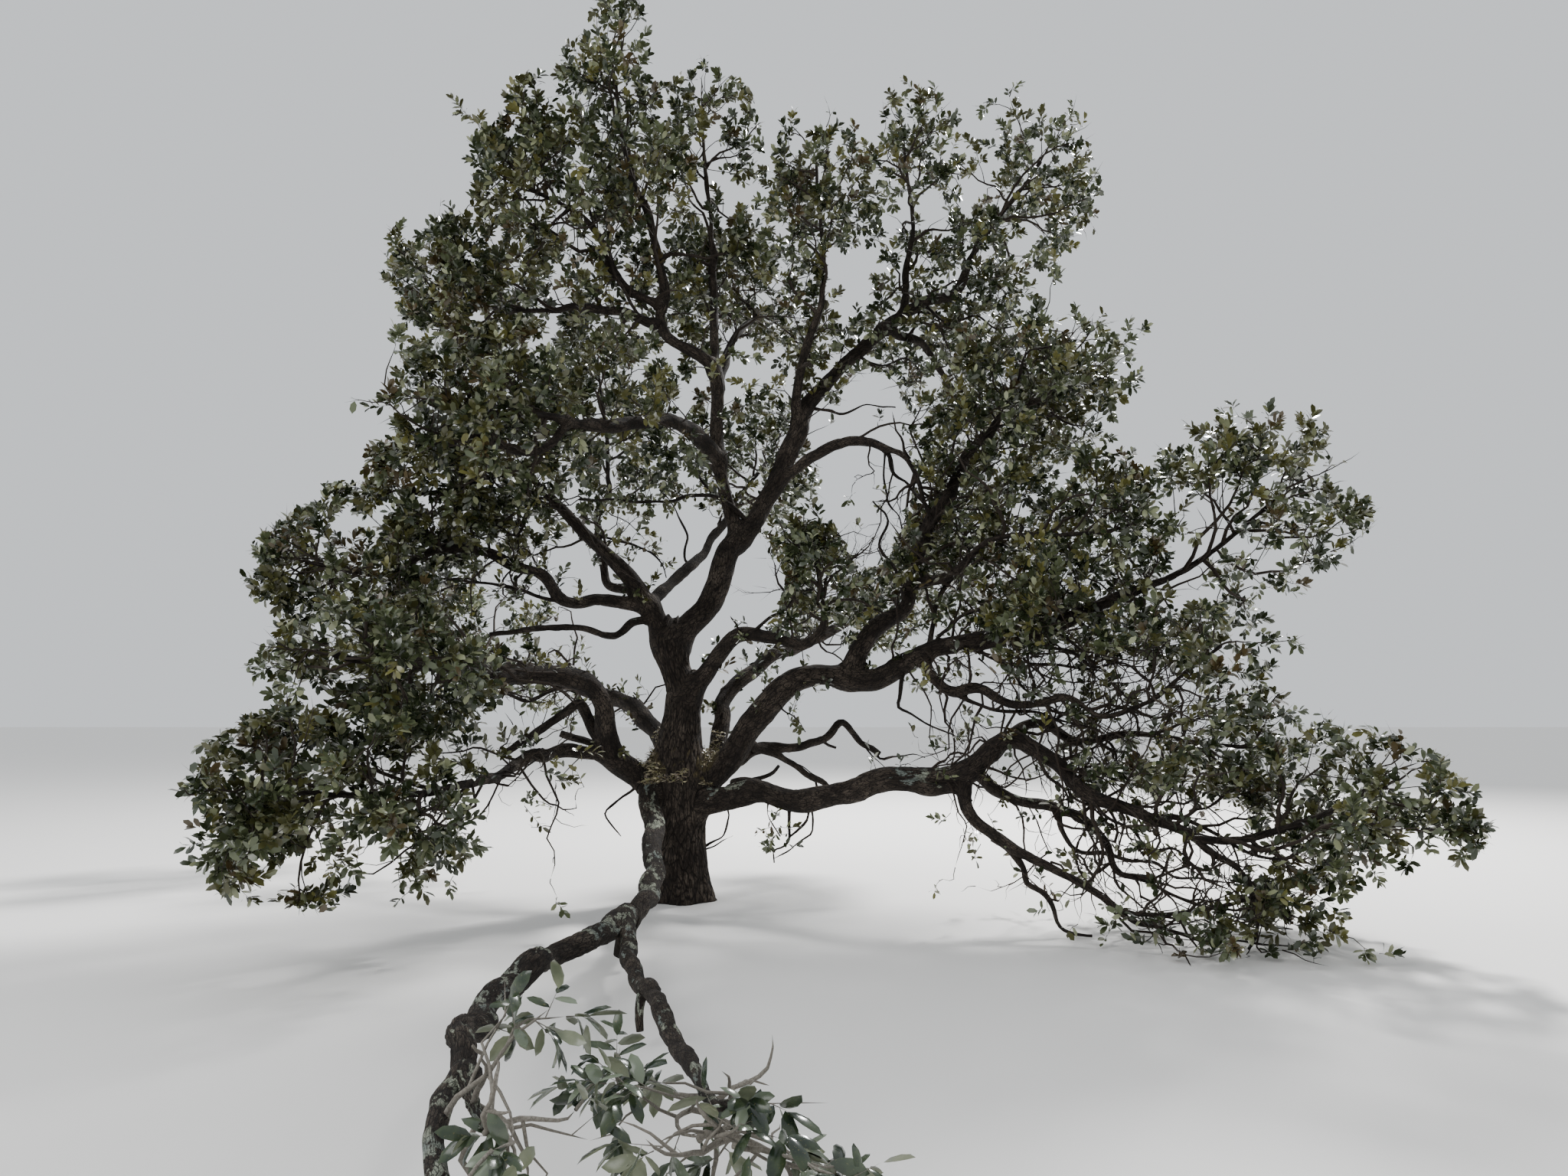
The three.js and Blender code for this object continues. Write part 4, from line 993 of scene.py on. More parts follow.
def side_shoots(twigs, first, step, tilt):
    """Where side shoots leave a set of twigs and which way, and a last one at each tip."""
    count = np.maximum((1 - first) * twigs["lengths"] / step, 0).astype(int) + 1
    parent, order = numbered(count)
    last = order == count[parent] - 1
    share = first + (order + 0.8 * rng.random(len(order))) * (1 - first) / count[parent]
    place, along = on_lines(twigs["line"][parent], np.where(last, 1.0, share))
    tilt = math.radians(tilt) * (1 + TWIG_TILT_SPREAD * (rng.random(len(order)) - 0.5))
    around = GOLDEN_ANGLE * order + 2 * math.pi * rng.random(len(count))[parent]
    return dict(parent=parent, owners=twigs["owners"][parent], spray=twigs["spray"][parent],
                borne=twigs["borne"][parent], starts=place,
                ways=tilted(along, np.where(last, 0.1, tilt), around))


def place_tree(places):
    """A tree of places that finds the nearest one fast."""
    tree = KDTree(len(places))
    for number, place in enumerate(places):
        tree.insert(place, number)
    tree.balance()
    return tree


samples = [along_limb(limb, np.arange(0, limb["length"], LIMB_SAMPLE_STEP))
           for limb in limbs.values()]
sample_places, sample_girths = map(np.concatenate, zip(*samples))
limb_tree = place_tree(sample_places)
thick = sample_girths > SEEN_LIMB
seen_places, seen_girths = sample_places[thick], sample_girths[thick]
seen_tree = place_tree([(x, z, 0) for x, z in zip(*seen_at_trunk(seen_places))])


def clear_of_limbs(places, margin):
    """Whether each place lies outside the nearest limb by a margin."""
    found = [limb_tree.find(place) for place in places]
    far = np.array([item[2] for item in found])
    return far > sample_girths[[item[1] for item in found]] + margin


def hiding_limb(places):
    """Whether each place, from the photograph's side, lies in front of a limb."""
    found = [seen_tree.find((x, z, 0)) for x, z in zip(*seen_at_trunk(places))]
    limb = [item[1] for item in found]
    far = np.array([item[2] for item in found])
    return (far < seen_girths[limb] + HIDING_MARGIN) & (places[:, 1] < seen_places[limb, 1])


REGIONS = {  # the start of its pieces' names: the masses that it holds, how full each is
    "top": {"foliage_top": 0.66, "foliage_top_middle": 0.68, "foliage_top_left": 0.85,
            "foliage_middle_top": 0.7, "foliage_top_right": 0.7, "foliage_right_top": 0.75},
    "left_high": {"foliage_left_high": 1.3, "foliage_front_left": 1.15,
                  "foliage_left_middle": 1.05, "foliage_left_outer": 1.1,
                  "foliage_back_left_high": 1},
    "right_high": {"foliage_right_high": 0.66, "foliage_right_middle": 0.72,
                   "foliage_under_arch": 0.65, "foliage_back_right_high": 0.7,
                   "foliage_back_high": 0.75, "foliage_back_middle": 0.75},
    "right_low": {"foliage_far_right": 0.8, "foliage_right_low": 0.8,
                  "foliage_right_skirt_front": 0.85, "foliage_right_skirt_back": 0.85,
                  "foliage_right_ground": 0.6, "foliage_inner_right": 0.9},
    "left_low": {"foliage_left_skirt_high": 1.3, "foliage_left_skirt_low": 1.4,
                 "foliage_back_left": 1, "foliage_back_right": 0.9},
}
NEAR_MASSES = {"foliage_front_tip": 0.8, "foliage_front_fork": 0.8}
fullness = {name: full for region in [NEAR_MASSES, *REGIONS.values()]
            for name, full in region.items()}
mass_names = [mass["name"] for mass in masses]
full = np.array([fullness[name] for name in mass_names])
rng = np.random.default_rng(41)


def heading(limb, runs, reach):
    """The way that a limb leads at each run, from a little before it to a little after."""
    return unit(along_limb(limb, runs + reach)[0] - along_limb(limb, runs - reach)[0])


rows = []
for index, mass in enumerate(masses):
    numbers, stem = even_numbers(index + 11), mass["stem"]
    shares, tilts, arounds = [], [], []
    around = next(numbers) * 2 * math.pi
    for twig in range(1, TWIGS_IN_MASS + 1):
        around += GOLDEN_ANGLE
        shares.append(FIRST_TWIG + (1 - FIRST_TWIG) * twig / TWIGS_IN_MASS)
        tilts.append(0 if twig == TWIGS_IN_MASS
                     else TWIG_TILT * (1 + TWIG_TILT_SPREAD * (next(numbers) - 0.5)))
        arounds.append(around)
        for _ in range(LEAF_DRAWS):
            next(numbers)
    extra = round(EXTRA_TWIGS * full[index])
    shares = np.concatenate([
        shares, EXTRA_FIRST + EXTRA_SPAN * (np.arange(extra) + 0.5) / extra])
    tilts = np.concatenate([tilts, rng.uniform(*EXTRA_TILT, extra)])
    arounds = np.concatenate([arounds, EXTRA_TURN + GOLDEN_ANGLE * np.arange(extra)])
    place, girth = along_limb(stem, shares * stem["length"])
    rows.append((np.full(len(shares), index), place,
                 tilted(heading(stem, shares * stem["length"], 0.02), tilts, arounds),
                 np.minimum(0.8 * girth, TWIG_GIRTH)))
twigs = dict(zip(("owners", "starts", "ways", "girths"), map(np.concatenate, zip(*rows))))
room = room_along(twigs, LONGEST_TWIG, -0.035)
kept = room > SHORTEST_TWIG
twigs = picked(dict(twigs, lengths=TWIG_SHARE * room), kept)
main_twigs = grow(twigs, twigs["girths"], "main", spray=np.arange(kept.sum()), borne=False)

# Crooked side branches grow straight from the limbs too, and fill the crown between masses.
BARE_LIMBS = {"trunk", "front_limb", "front_fork_limb", "dead_crooked_limb"}
LIMB_TWIGS, SMALL_LIMB_TWIGS = (0.25, 0.24), (0.2, 0.2)  # from where along it, how far apart
LIMB_TWIG_GIRTH, LIMB_TWIG_TILT, LIMB_TWIG_LENGTH = (0.011, 0.022), (0.6, 1.2), (0.45, 1.05)
SHORTEST_LIMB_TWIG, FIRST_LIMB_SPRAY, SIDE_SPRAYS = 0.22, 1000, 10000
SIDE_STEP, SIDE_TILT, SIDE_GIRTH, SIDE_SHARE, SHORTEST_SIDE_TWIG = 0.13, 54, 0.006, 0.92, 0.1


def nearest_mass(places):
    return np.argmin(np.linalg.norm((places[:, None] - MIDDLES) / REACHES, axis=-1), axis=1)


rows = []
for number, (name, limb) in enumerate(limbs.items()):
    if name not in BARE_LIMBS:
        first, step = SMALL_LIMB_TWIGS if name in small_names else LIMB_TWIGS
        runs = np.arange(first * limb["length"], limb["length"], step)
        place, girth = along_limb(limb, runs)
        girth = np.minimum(0.7 * girth, rng.uniform(*LIMB_TWIG_GIRTH, len(runs)))
        tilt = rng.uniform(*LIMB_TWIG_TILT, len(runs))
        around = number + GOLDEN_ANGLE * np.arange(len(runs))
        rows.append((place, tilted(heading(limb, runs, 0.05), tilt, around), girth))
twigs = dict(zip(("starts", "ways", "girths"), map(np.concatenate, zip(*rows))))
room = covered_room(twigs, LIMB_TWIG_LENGTH[1])
twigs["lengths"] = np.minimum(room, rng.uniform(*LIMB_TWIG_LENGTH, len(room)))
twigs = picked(twigs, twigs["lengths"] > SHORTEST_LIMB_TWIG)
middles = twigs["starts"] + twigs["ways"] * twigs["lengths"][:, None] * 0.7
twigs["owners"] = nearest_mass(middles)
limb_twigs = grow(twigs, twigs["girths"], "limb",
                  spray=FIRST_LIMB_SPRAY + np.arange(len(middles)), borne=True)

grown = []
for bearers, first, longest in ((main_twigs, 0.2, 0.56), (limb_twigs, 0.25, 0.5)):
    twigs = side_shoots(bearers, first, SIDE_STEP, SIDE_TILT)
    room = (room_along(twigs, longest, 0.1) if bearers is main_twigs
            else covered_room(twigs, longest))
    twigs["lengths"] = np.minimum(SIDE_SHARE * room,
                                  longest * rng.uniform(0.5, 1, len(room)))
    twigs["bearer"] = twigs["spray"]
    twigs = picked(twigs, twigs["lengths"] > SHORTEST_SIDE_TWIG)
    twigs["spray"] = SIDE_SPRAYS * (len(grown) + 1) + np.arange(len(twigs["lengths"]))
    grown.append(grow(twigs, SIDE_GIRTH, "side"))
side_twigs = stacked(grown)
main_twigs = stacked([main_twigs, limb_twigs])

SHOOT_STEP, SHOOT_TILT, SHOOT_GIRTH, SHOOT_LENGTH = 0.044, 50, 0.0022, (0.07, 0.17)
SHOOT_ROOM, SHORTEST_SHOOT = 0.2, 0.05
CLUMP, CLUMP_GAP = 0.17, -0.32  # leaves gather in clumps of this size, with gaps between
grown = []
for bearers, first in ((main_twigs, 0.66), (side_twigs, 0.48)):
    twigs = side_shoots(bearers, first, SHOOT_STEP / full[bearers["owners"]], SHOOT_TILT)
    room = np.where(twigs["borne"], covered_room(twigs, SHOOT_ROOM),
                    room_along(twigs, SHOOT_ROOM, 0.15))
    twigs["lengths"] = np.minimum(room + 0.02, rng.uniform(*SHOOT_LENGTH, len(room)))
    kept = (twigs["lengths"] > SHORTEST_SHOOT) & (twigs["starts"][:, 2] > CLEAR_OF_GROUND)
    kept &= drift(twigs["starts"] / CLUMP, 7) > CLUMP_GAP
    grown.append(grow(picked(twigs, kept), SHOOT_GIRTH, "shoot"))
shoots = stacked(grown)

# Bare crooked twigs wander out under the boughs and hang to the ground. They and the lower
# boughs bear short leafy sprouts, and short leafy side branches close the crown up round
# the leader and the heavy limb.
WANDERERS = {  # limb: where along it they begin, how many to the metre
    "great_right_arch": (0.5, 9), "lower_arch_limb": (0.1, 9), "low_right_bough": (0.5, 10),
    "right_skirt_limb": (0.1, 10), "mid_skirt_limb": (0.1, 8), "drop_limb": (0.6, 4),
    "left_bough": (0.5, 7), "left_low_arm": (0.3, 8), "arching_limb": (0.6, 6),
    "right_side_limb": (0.1, 7), "left_leader": (0.5, 5), "long_left_arm": (0.4, 5),
    "back_left_bough": (0.3, 5)}
SPROUTING = {  # limb: how many to the metre
    "great_right_arch": 6, "low_right_bough": 3, "upper_right_bough": 9,
    "back_right_bough": 6, "right_upright": 5, "right_leader": 3, "left_bough": 3,
    "left_leader": 8, "long_left_arm": 6, "left_upright": 9, "small_limb_1": 8,
    "small_limb_2": 12, "small_limb_4": 12, "small_limb_5": 13, "small_limb_6": 8,
    "small_limb_37": 5, "small_limb_40": 12, "small_limb_50": 10, "back_left_bough": 11}
FILLING = {  # limb: from where to where along it, how many to the metre
    "heavy_front_limb": (0.12, 0.95, 13), "top_leader": (0.12, 0.8, 8),
    "upper_left_arm": (0.1, 1, 7), "top_left_limb": (0.1, 1, 4),
    "top_middle_limb": (0.05, 0.9, 8), "upper_middle_limb": (0.05, 0.8, 9),
    "right_leader": (0.4, 0.75, 8), "left_upright": (0.3, 1, 8)}
WANDERER_GIRTH, WANDERER_LENGTH, FARTHEST_RIGHT = (0.009, 0.016), (0.45, 1.3), 5.3
BARE_STEP, BARE_GIRTH, BARE_LENGTH, LEAFY_SHARE = 0.16, 0.0046, (0.1, 0.36), 0.4
SPROUT_GIRTH, SPROUT_LENGTH = 0.0036, (0.06, 0.26)
FILLER_GIRTH, FILLER_LENGTH = 0.007, (0.2, 0.6)
FILLER_SHOOT_STEP, FILLER_SHOOT_LENGTH = 0.045, (0.06, 0.15)
FIRST_SPROUT_SPRAY, FIRST_FILLING_SPRAY, SPRAYS = 25000, 35000, 40000


def spaced(limb, first, last, each):
    """Even runs along a part of a limb, so many to the metre."""
    count = round(each * (last - first) * limb["length"])
    return limb["length"] * (first + (last - first) * (np.arange(count) + 0.5) / count)


def beside(limb, runs, outward, lean):
    """Places on a limb's bark, and ways out from there, leaning by a given vector."""
    place, girth = along_limb(limb, runs)
    along = heading(limb, runs, 0.05)
    around = GOLDEN_ANGLE * np.arange(len(runs)) + rng.random()
    out = tilted(along, np.full(len(runs), math.pi / 2), around)
    return place + out * girth[:, None] * 0.7, unit(outward * out + along * 0.6 + lean), girth


def twigs_at(starts, ways, first_spray):
    """A table of twigs that start at given places, with a spray for each."""
    return dict(starts=starts, ways=ways, owners=nearest_mass(starts),
                spray=first_spray + np.arange(len(starts)), borne=np.ones(len(starts), bool))


rows = []
for name, (first, each) in WANDERERS.items():
    runs = spaced(limbs[name], first, 1, each)
    place, way, girth = beside(limbs[name], runs, 0.6, [0, 0, -0.35])
    girth = np.minimum(0.6 * girth, rng.uniform(*WANDERER_GIRTH, len(runs)))
    rows.append((place, way, girth))
starts, ways, girths = map(np.concatenate, zip(*rows))
wanderers = twigs_at(starts, ways, 0)
wanderers["lengths"] = rng.uniform(*WANDERER_LENGTH, len(starts))
wanderers = grow(wanderers, girths, "wanderer")
line = wanderers["line"]
line[..., 2] = np.maximum(line[..., 2], CLEAR_OF_GROUND)
line[..., 0] = np.minimum(line[..., 0], FARTHEST_RIGHT)
twigs = side_shoots(wanderers, 0.2, BARE_STEP, SHOOT_TILT)
twigs["lengths"] = rng.uniform(*BARE_LENGTH, len(twigs["starts"]))
bare_twigs = grow(twigs, BARE_GIRTH, "bare")
bare_twigs["line"][..., 2] = np.maximum(bare_twigs["line"][..., 2], LITTLE_CLEAR)

leafy = rng.random(len(twigs["starts"])) < LEAFY_SHARE
rows = [(bare_twigs["line"][leafy, -1], unit(twigs["ways"][leafy] + [0, 0, 0.3]))]
for name, each in SPROUTING.items():
    runs = limbs[name]["length"] * rng.uniform(0.2, 0.95, round(each * limbs[name]["length"]))
    rows.append(beside(limbs[name], runs, 1, [0, 0, 0.5])[:2])
sprouts = twigs_at(*map(np.concatenate, zip(*rows)), FIRST_SPROUT_SPRAY)
sprouts["lengths"] = rng.uniform(*SPROUT_LENGTH, len(sprouts["starts"]))
sprouts = grow(sprouts, SPROUT_GIRTH, "sprout")

crown_rng, rng = rng, np.random.default_rng(43)
rows = [beside(limbs[name], spaced(limbs[name], *span), 1, [0, 0, 0.25])[:2]
        for name, span in FILLING.items()]
fillers = twigs_at(*map(np.concatenate, zip(*rows)), FIRST_FILLING_SPRAY)
fillers["lengths"] = rng.uniform(*FILLER_LENGTH, len(fillers["starts"]))
fillers = grow(fillers, FILLER_GIRTH, "filler")
twigs = side_shoots(fillers, 0.3, FILLER_SHOOT_STEP, SHOOT_TILT)
twigs = picked(twigs, drift(twigs["starts"] / CLUMP, 7) > CLUMP_GAP)
twigs["lengths"] = rng.uniform(*FILLER_SHOOT_LENGTH, len(twigs["starts"]))
filler_shoots = grow(twigs, SHOOT_GIRTH, "shoot")
filling_rng, rng = rng, crown_rng


def tubes(twigs, sides):
    """Tapered tubes along a set of lines, each closed to a point at its tip."""
    line, girths = twigs["line"], twigs["girths"]
    count, rings = line.shape[:2]
    along = unit(line[:, -1] - line[:, 0])
    turn = 2 * math.pi * np.arange(sides) / sides
    side = unit(SIDEWAYS_HINT - along * (along @ SIDEWAYS_HINT)[:, None])
    up = np.cross(along, side)
    out = side[:, None] * np.cos(turn)[:, None] + up[:, None] * np.sin(turn)[:, None]
    radius = girths[:, None] * np.linspace(1, 0.3, rings)[:-1]
    body = line[:, :-1, None] + out[:, None] * radius[..., None, None]
    points = np.concatenate([body.reshape(count, (rings - 1) * sides, 3), line[:, -1:]],
                            axis=1)
    faces = (tube_faces(rings - 1, sides, foot=False)[None]
             + (np.arange(count) * points.shape[1])[:, None, None])
    return points.reshape(-1, 3), faces.reshape(-1, 3)


# Leaves: small, stiff and leathery, spoon-shaped with the edges rolled under, glossy
# grey-green to olive above and paler beneath, spiralled along each shoot to a tip rosette.
LEAF_OUTLINE = np.array([  # along, across, lift, all as shares of the length
    (0, 0, -0.02), (0.32, 0.21, 0.03), (0.74, 0.22, 0.02), (1, 0, -0.07),
    (0.74, -0.22, 0.02), (0.32, -0.21, 0.03)])
LEAF_FACES = np.array([(0, 1, 5), (1, 2, 5), (2, 4, 5), (2, 3, 4)])
BOX_ALLOWANCE = 0.027
LEAVES_ON_SHOOT, LEAF_LENGTH, LEAF_RISE = 13, 0.073, 0.12
LEAVES_ON_SPROUT, SPROUT_LEAF_LENGTH = 8, 0.068
CLEAR_OF_WOOD = 0.015
HIDING_SHARE, FILLING_SHARE = 0.72, 0.6  # of the shoots in front of limbs bear no leaves
OWN_HUE = 0.45  # of the shoots differ from their spray
UNDERSIDE_AND_GLINT_SHARE = 0.13  # of the leaves show their pale underside, which also serves as a painted glint
LEAF_SHARES = [0.35, 0.27, 0.23, 0.09, 0.06]  # of the first five leaf materials


def leaves_on(twigs, each, length, rise):
    """Where leaves grow on a set of shoots: place, way, facing, length and spray."""
    count = rng.poisson(each, len(twigs["lengths"])).clip(4)
    parent, order = numbered(count)
    part = (order + rng.random(len(order))) / count[parent]
    place, along = on_lines(twigs["line"][parent], 0.1 + 0.9 * part**0.75)
    tilt = np.radians(72 - 45 * part) * (0.8 + 0.4 * rng.random(len(part)))
    around = GOLDEN_ANGLE * order + 2 * math.pi * rng.random(len(count))[parent]
    way = unit(tilted(along, tilt, around) + [0, 0, rise])
    face = square_to(way, rng.normal(0, 0.55, way.shape) + [0, 0, 1] + 0.5 * along)
    size = length * rng.uniform(0.72, 1.28, len(part))
    return dict(owners=twigs["owners"][parent], spray=twigs["spray"][parent], shoot=parent,
                borne=twigs["borne"][parent], place=place, way=way, face=face, size=size,
                tip=place + way * size[:, None])


def square_to(way, facing):
    """The directions nearest to a facing that stand square to a way."""
    return unit(facing - way * np.sum(facing * way, axis=1, keepdims=True))


def leaf_mesh(leaves, outline, triangles):
    """The leaves as one array of points and triangles."""
    side = np.cross(leaves["way"], leaves["face"])
    frame_of = np.stack([leaves["way"], side, leaves["face"]], axis=1)
    shape = outline[None] * leaves["size"][:, None, None]
    points = leaves["place"][:, None] + shape @ frame_of
    faces = triangles[None] + (np.arange(len(side)) * len(outline))[:, None, None]
    return points.reshape(-1, 3), faces.reshape(-1, 3)


def leaf_material(name, code):
    material, tree, surface = new_material(name)
    set_inputs(tree, surface, {"Base Color": colour(code), "Roughness": 0.24,
                               "Specular IOR Level": 0.65})
    return material


def within_box(leaves):
    """Whether leaf tips stay in the room round the solids, and above the ground."""
    low, high = np.array(cad_box)
    most = BOX_ALLOWANCE * (high - low)
    tips = leaves["tip"]
    return (tips[:, 2] > LITTLE_CLEAR) & np.all((tips > low - most) & (tips < high + most),
                                                axis=1)


def clear_of_wood(leaves):
    """Whether the middle of each leaf lies outside the limbs."""
    return clear_of_limbs(leaves["place"] + leaves["way"] * leaves["size"][:, None] / 2,
                          CLEAR_OF_WOOD)


def dealt(leaves):
    """The leaves' material slots: by spray, by shoot where its hue is its own, or the pale
    underside, which also stands in as a painted glint.
    """
    slots = np.where(own[leaves["shoot"]], own_slot[leaves["shoot"]],
                     spray_slot[leaves["spray"]])
    slots[rng.random(len(slots)) < UNDERSIDE_AND_GLINT_SHARE] = len(LEAF_SHARES)
    return slots


# The pale underside colour is partly the leaves' real underside and partly a painted glint,
# dealt to single leaves.
leaf_materials = [leaf_material(*row) for row in [
    ("leaf_deep_green", "#2e3620"), ("leaf_olive", "#484828"),
    ("leaf_grey_green", "#50573c"), ("leaf_yellow_olive", "#646236"),
    ("leaf_brown_olive", "#4c4129"), ("leaf_underside_and_glint", "#848869")]]
twig_bark = bark_material("twig_bark", "#261f1a", "#443c34", "#6d6458", 0.4, 0.001, 60.0)
near_numbers = [mass_names.index(name) for name in NEAR_MASSES]

leaves = leaves_on(shoots, LEAVES_ON_SHOOT, LEAF_LENGTH, LEAF_RISE)
luck = rng.random(len(shoots["lengths"]))[leaves["shoot"]]
tips, owners = leaves["tip"], leaves["owners"]
depth = np.linalg.norm((tips - MIDDLES[owners]) / REACHES[owners], axis=1)
ragged = 0.9 + 0.14 * rng.random(30000)[leaves["spray"]]
kept = np.where(leaves["borne"], covered(tips), depth < ragged) & ~in_opening(tips)
kept &= within_box(leaves) & (leaves["place"][:, 2] > 0.02) & (luck < share_kept(tips))
kept &= ~np.isin(owners, near_numbers)
kept &= (luck > HIDING_SHARE) | ~hiding_limb(leaves["place"])
leaves = picked(leaves, kept)
leaves = picked(leaves, clear_of_wood(leaves))
more = leaves_on(sprouts, LEAVES_ON_SPROUT, SPROUT_LEAF_LENGTH, LEAF_RISE)
more = picked(more, within_box(more) & ~np.isin(more["owners"], near_numbers))
leaves = stacked([leaves, more])
spray_slot = rng.choice(len(LEAF_SHARES), SPRAYS, p=LEAF_SHARES)
own_slot = rng.choice(len(LEAF_SHARES), len(shoots["lengths"]), p=LEAF_SHARES)
own = rng.random(len(own_slot)) < OWN_HUE
leaves["slot"] = dealt(leaves)

rng = filling_rng
more = leaves_on(filler_shoots, LEAVES_ON_SHOOT, LEAF_LENGTH, LEAF_RISE)
luck = rng.random(len(filler_shoots["lengths"]))[more["shoot"]]
kept = ~in_opening(more["tip"]) & ((luck > FILLING_SHARE) | ~hiding_limb(more["place"]))
more = picked(more, kept & clear_of_wood(more))
more["slot"] = dealt(more)
leaves = stacked([leaves, more])
rng = crown_rng

for region, held in REGIONS.items():
    numbers = [mass_names.index(name) for name in held]
    part = picked(leaves, np.isin(leaves["owners"], numbers))
    piece = add_piece(region + "_leaves", *leaf_mesh(part, LEAF_OUTLINE, LEAF_FACES),
                      leaf_materials, np.repeat(part["slot"], len(LEAF_FACES)))
    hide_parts(*held)
    points, faces = joined([
        tubes(picked(twigs, np.isin(twigs["owners"], numbers)), sides)
        for twigs, sides in ((main_twigs, 5), (side_twigs, 3), (shoots, 3), (wanderers, 5),
                             (bare_twigs, 3), (sprouts, 3), (fillers, 5), (filler_shoots, 3))])
    piece = add_piece(region + "_twigs", points, faces, [twig_bark])

# The near sprays: the same leaves, seen from three metres, so each has a midrib, rolled
# edges and a paler underside, and some are paled whole at random as a painted glint. They trail
# over the end of the front limb to the right.
NEAR_OUTLINE = np.array([
    (0, 0, -0.02), (0.2, 0.15, 0.01), (0.2, 0, 0.05), (0.2, -0.15, 0.01),
    (0.5, 0.21, 0.0), (0.5, 0, 0.07), (0.5, -0.21, 0.0),
    (0.8, 0.16, -0.04), (0.8, 0, 0.02), (0.8, -0.16, -0.04), (1, 0, -0.1)])
NEAR_FACES = np.array([(0, 1, 2), (0, 2, 3)] + [
    face for k in (1, 4) for face in ((k, k + 3, k + 4), (k, k + 4, k + 1),
                                      (k + 1, k + 4, k + 5), (k + 1, k + 5, k + 2))]
    + [(7, 10, 8), (8, 10, 9)])
NEAR_LENGTH, NEAR_LEAVES_ON_SHOOT, NEAR_DROOP, NEAR_GIRTH = 0.098, 6, -0.45, 0.011
NEAR_LEAFY, NEAR_LEAFY_LEFT, NEAR_GONE = 0.62, 0.06, 0.93  # shares of the near shoots
NEAR_BASE, NEAR_RANGE, NEAR_FALL = 0.25, 0.5, (0.76, 0.27)
NEAR_LEFT, NEAR_LEFT_MOST, SWEPT, NEAR_LEAVES_FROM = -0.1, 0, 0.12, 0.1
near_leaf, tree, surface = new_material("near_leaf")
place = node(tree, "TexCoord", output="Object")
blotch, speck = noise(tree, place, 14.0, 3.0), noise(tree, place, 160.0, 2.0)
above = mixed(tree, ramp(tree, blotch, 0.35, 0.65), colour("#1c281e"), colour("#38442c"))
above = mixed(tree, ramp(tree, speck, 0.62, 0.75), above, colour("#575534"))
# Painted glint: leaves paled whole towards a light grey-green stand in for the sun's glints on
# them.
painted_glint = node(tree, "Attribute", output="Fac", attribute_name="painted_glint")
above = mixed(tree, painted_glint, above, colour("#79836f"))
below = mixed(tree, ramp(tree, blotch, 0.3, 0.7), colour("#666d58"), colour("#82876f"))
behind = node(tree, "NewGeometry", output="Backfacing")
bump = node(tree, "Bump", {"Height": speck, "Strength": 0.15, "Distance": 0.001}, "Normal")
set_inputs(tree, surface, {"Base Color": mixed(tree, behind, above, below),
                           "Roughness": ramp(tree, blotch, -0.2, 2.2), "Normal": bump})


def laid_low(places):
    """Near wood and leaves as they lie: pressed down, and swept to the right of the limb."""
    x, y, z = places[..., 0], places[..., 1], places[..., 2]
    top = NEAR_FALL[0] - NEAR_FALL[1] * np.maximum(x, 0.1)
    press = np.clip((top - NEAR_BASE) / NEAR_RANGE, 0.1, 1)
    z = np.where(z > NEAR_BASE, NEAR_BASE + (z - NEAR_BASE) * press, z)
    x = np.where(x < NEAR_LEFT, NEAR_LEFT + (x - NEAR_LEFT) * SWEPT, x)
    return np.stack([x, y, z], axis=-1)


near_sets, gone = [], []
for twigs in (main_twigs, side_twigs, shoots):
    left = twigs["line"][:, -1, 0] < NEAR_LEFT_MOST
    left |= np.isin(twigs.get("bearer", twigs["spray"]), gone)
    gone.extend(twigs["spray"][left & (twigs is not shoots)])
    part = picked(twigs, np.isin(twigs["owners"], near_numbers) & ~left)
    part["line"] = laid_low(part["line"])
    part["girths"] = np.minimum(part["girths"], NEAR_GIRTH)
    near_sets.append(part)
near_shoots = near_sets.pop()
part = leaves_on(near_shoots, NEAR_LEAVES_ON_SHOOT, NEAR_LENGTH, NEAR_DROOP)
luck = rng.random(len(near_shoots["lengths"]))
leafy = (luck < NEAR_LEAFY) & ((near_shoots["line"][:, 0, 0] > NEAR_LEAVES_FROM)
                               | (luck < NEAR_LEAFY_LEFT))
near_sets.append(picked(near_shoots, leafy | (luck > NEAR_GONE)))
front_edge = cad_box[0][1] - BOX_ALLOWANCE * (cad_box[1][1] - cad_box[0][1])
part = picked(part, leafy[part["shoot"]] & (part["tip"][:, 2] > LITTLE_CLEAR)
              & (part["tip"][:, 1] > front_edge))
# Painted glint: a random share of the near leaves, paled whole.
painted_glint = smooth_step(0.6, 1, rng.random(len(part["size"]))) * 0.8
piece = add_piece("near_leaves", *leaf_mesh(part, NEAR_OUTLINE, NEAR_FACES), [near_leaf],
                  attributes={"painted_glint": np.repeat(painted_glint, len(NEAR_OUTLINE))})
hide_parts(*NEAR_MASSES)
# Painted light: the near twigs' bark is much paler than the crown's twig bark. It is partly the
# bare twigs' own pale grey and partly lightened to show the light they catch.
near_bark_painted_light = bark_material("near_twig_bark_painted_light", "#68635b", "#938e85", "#b5b1a8", 0.4, 0.001, 60.0)
points, faces = joined([tubes(twigs, sides) for twigs, sides in zip(near_sets, (8, 6, 4))])
piece = add_piece("near_twigs", points, faces, [near_bark_painted_light])

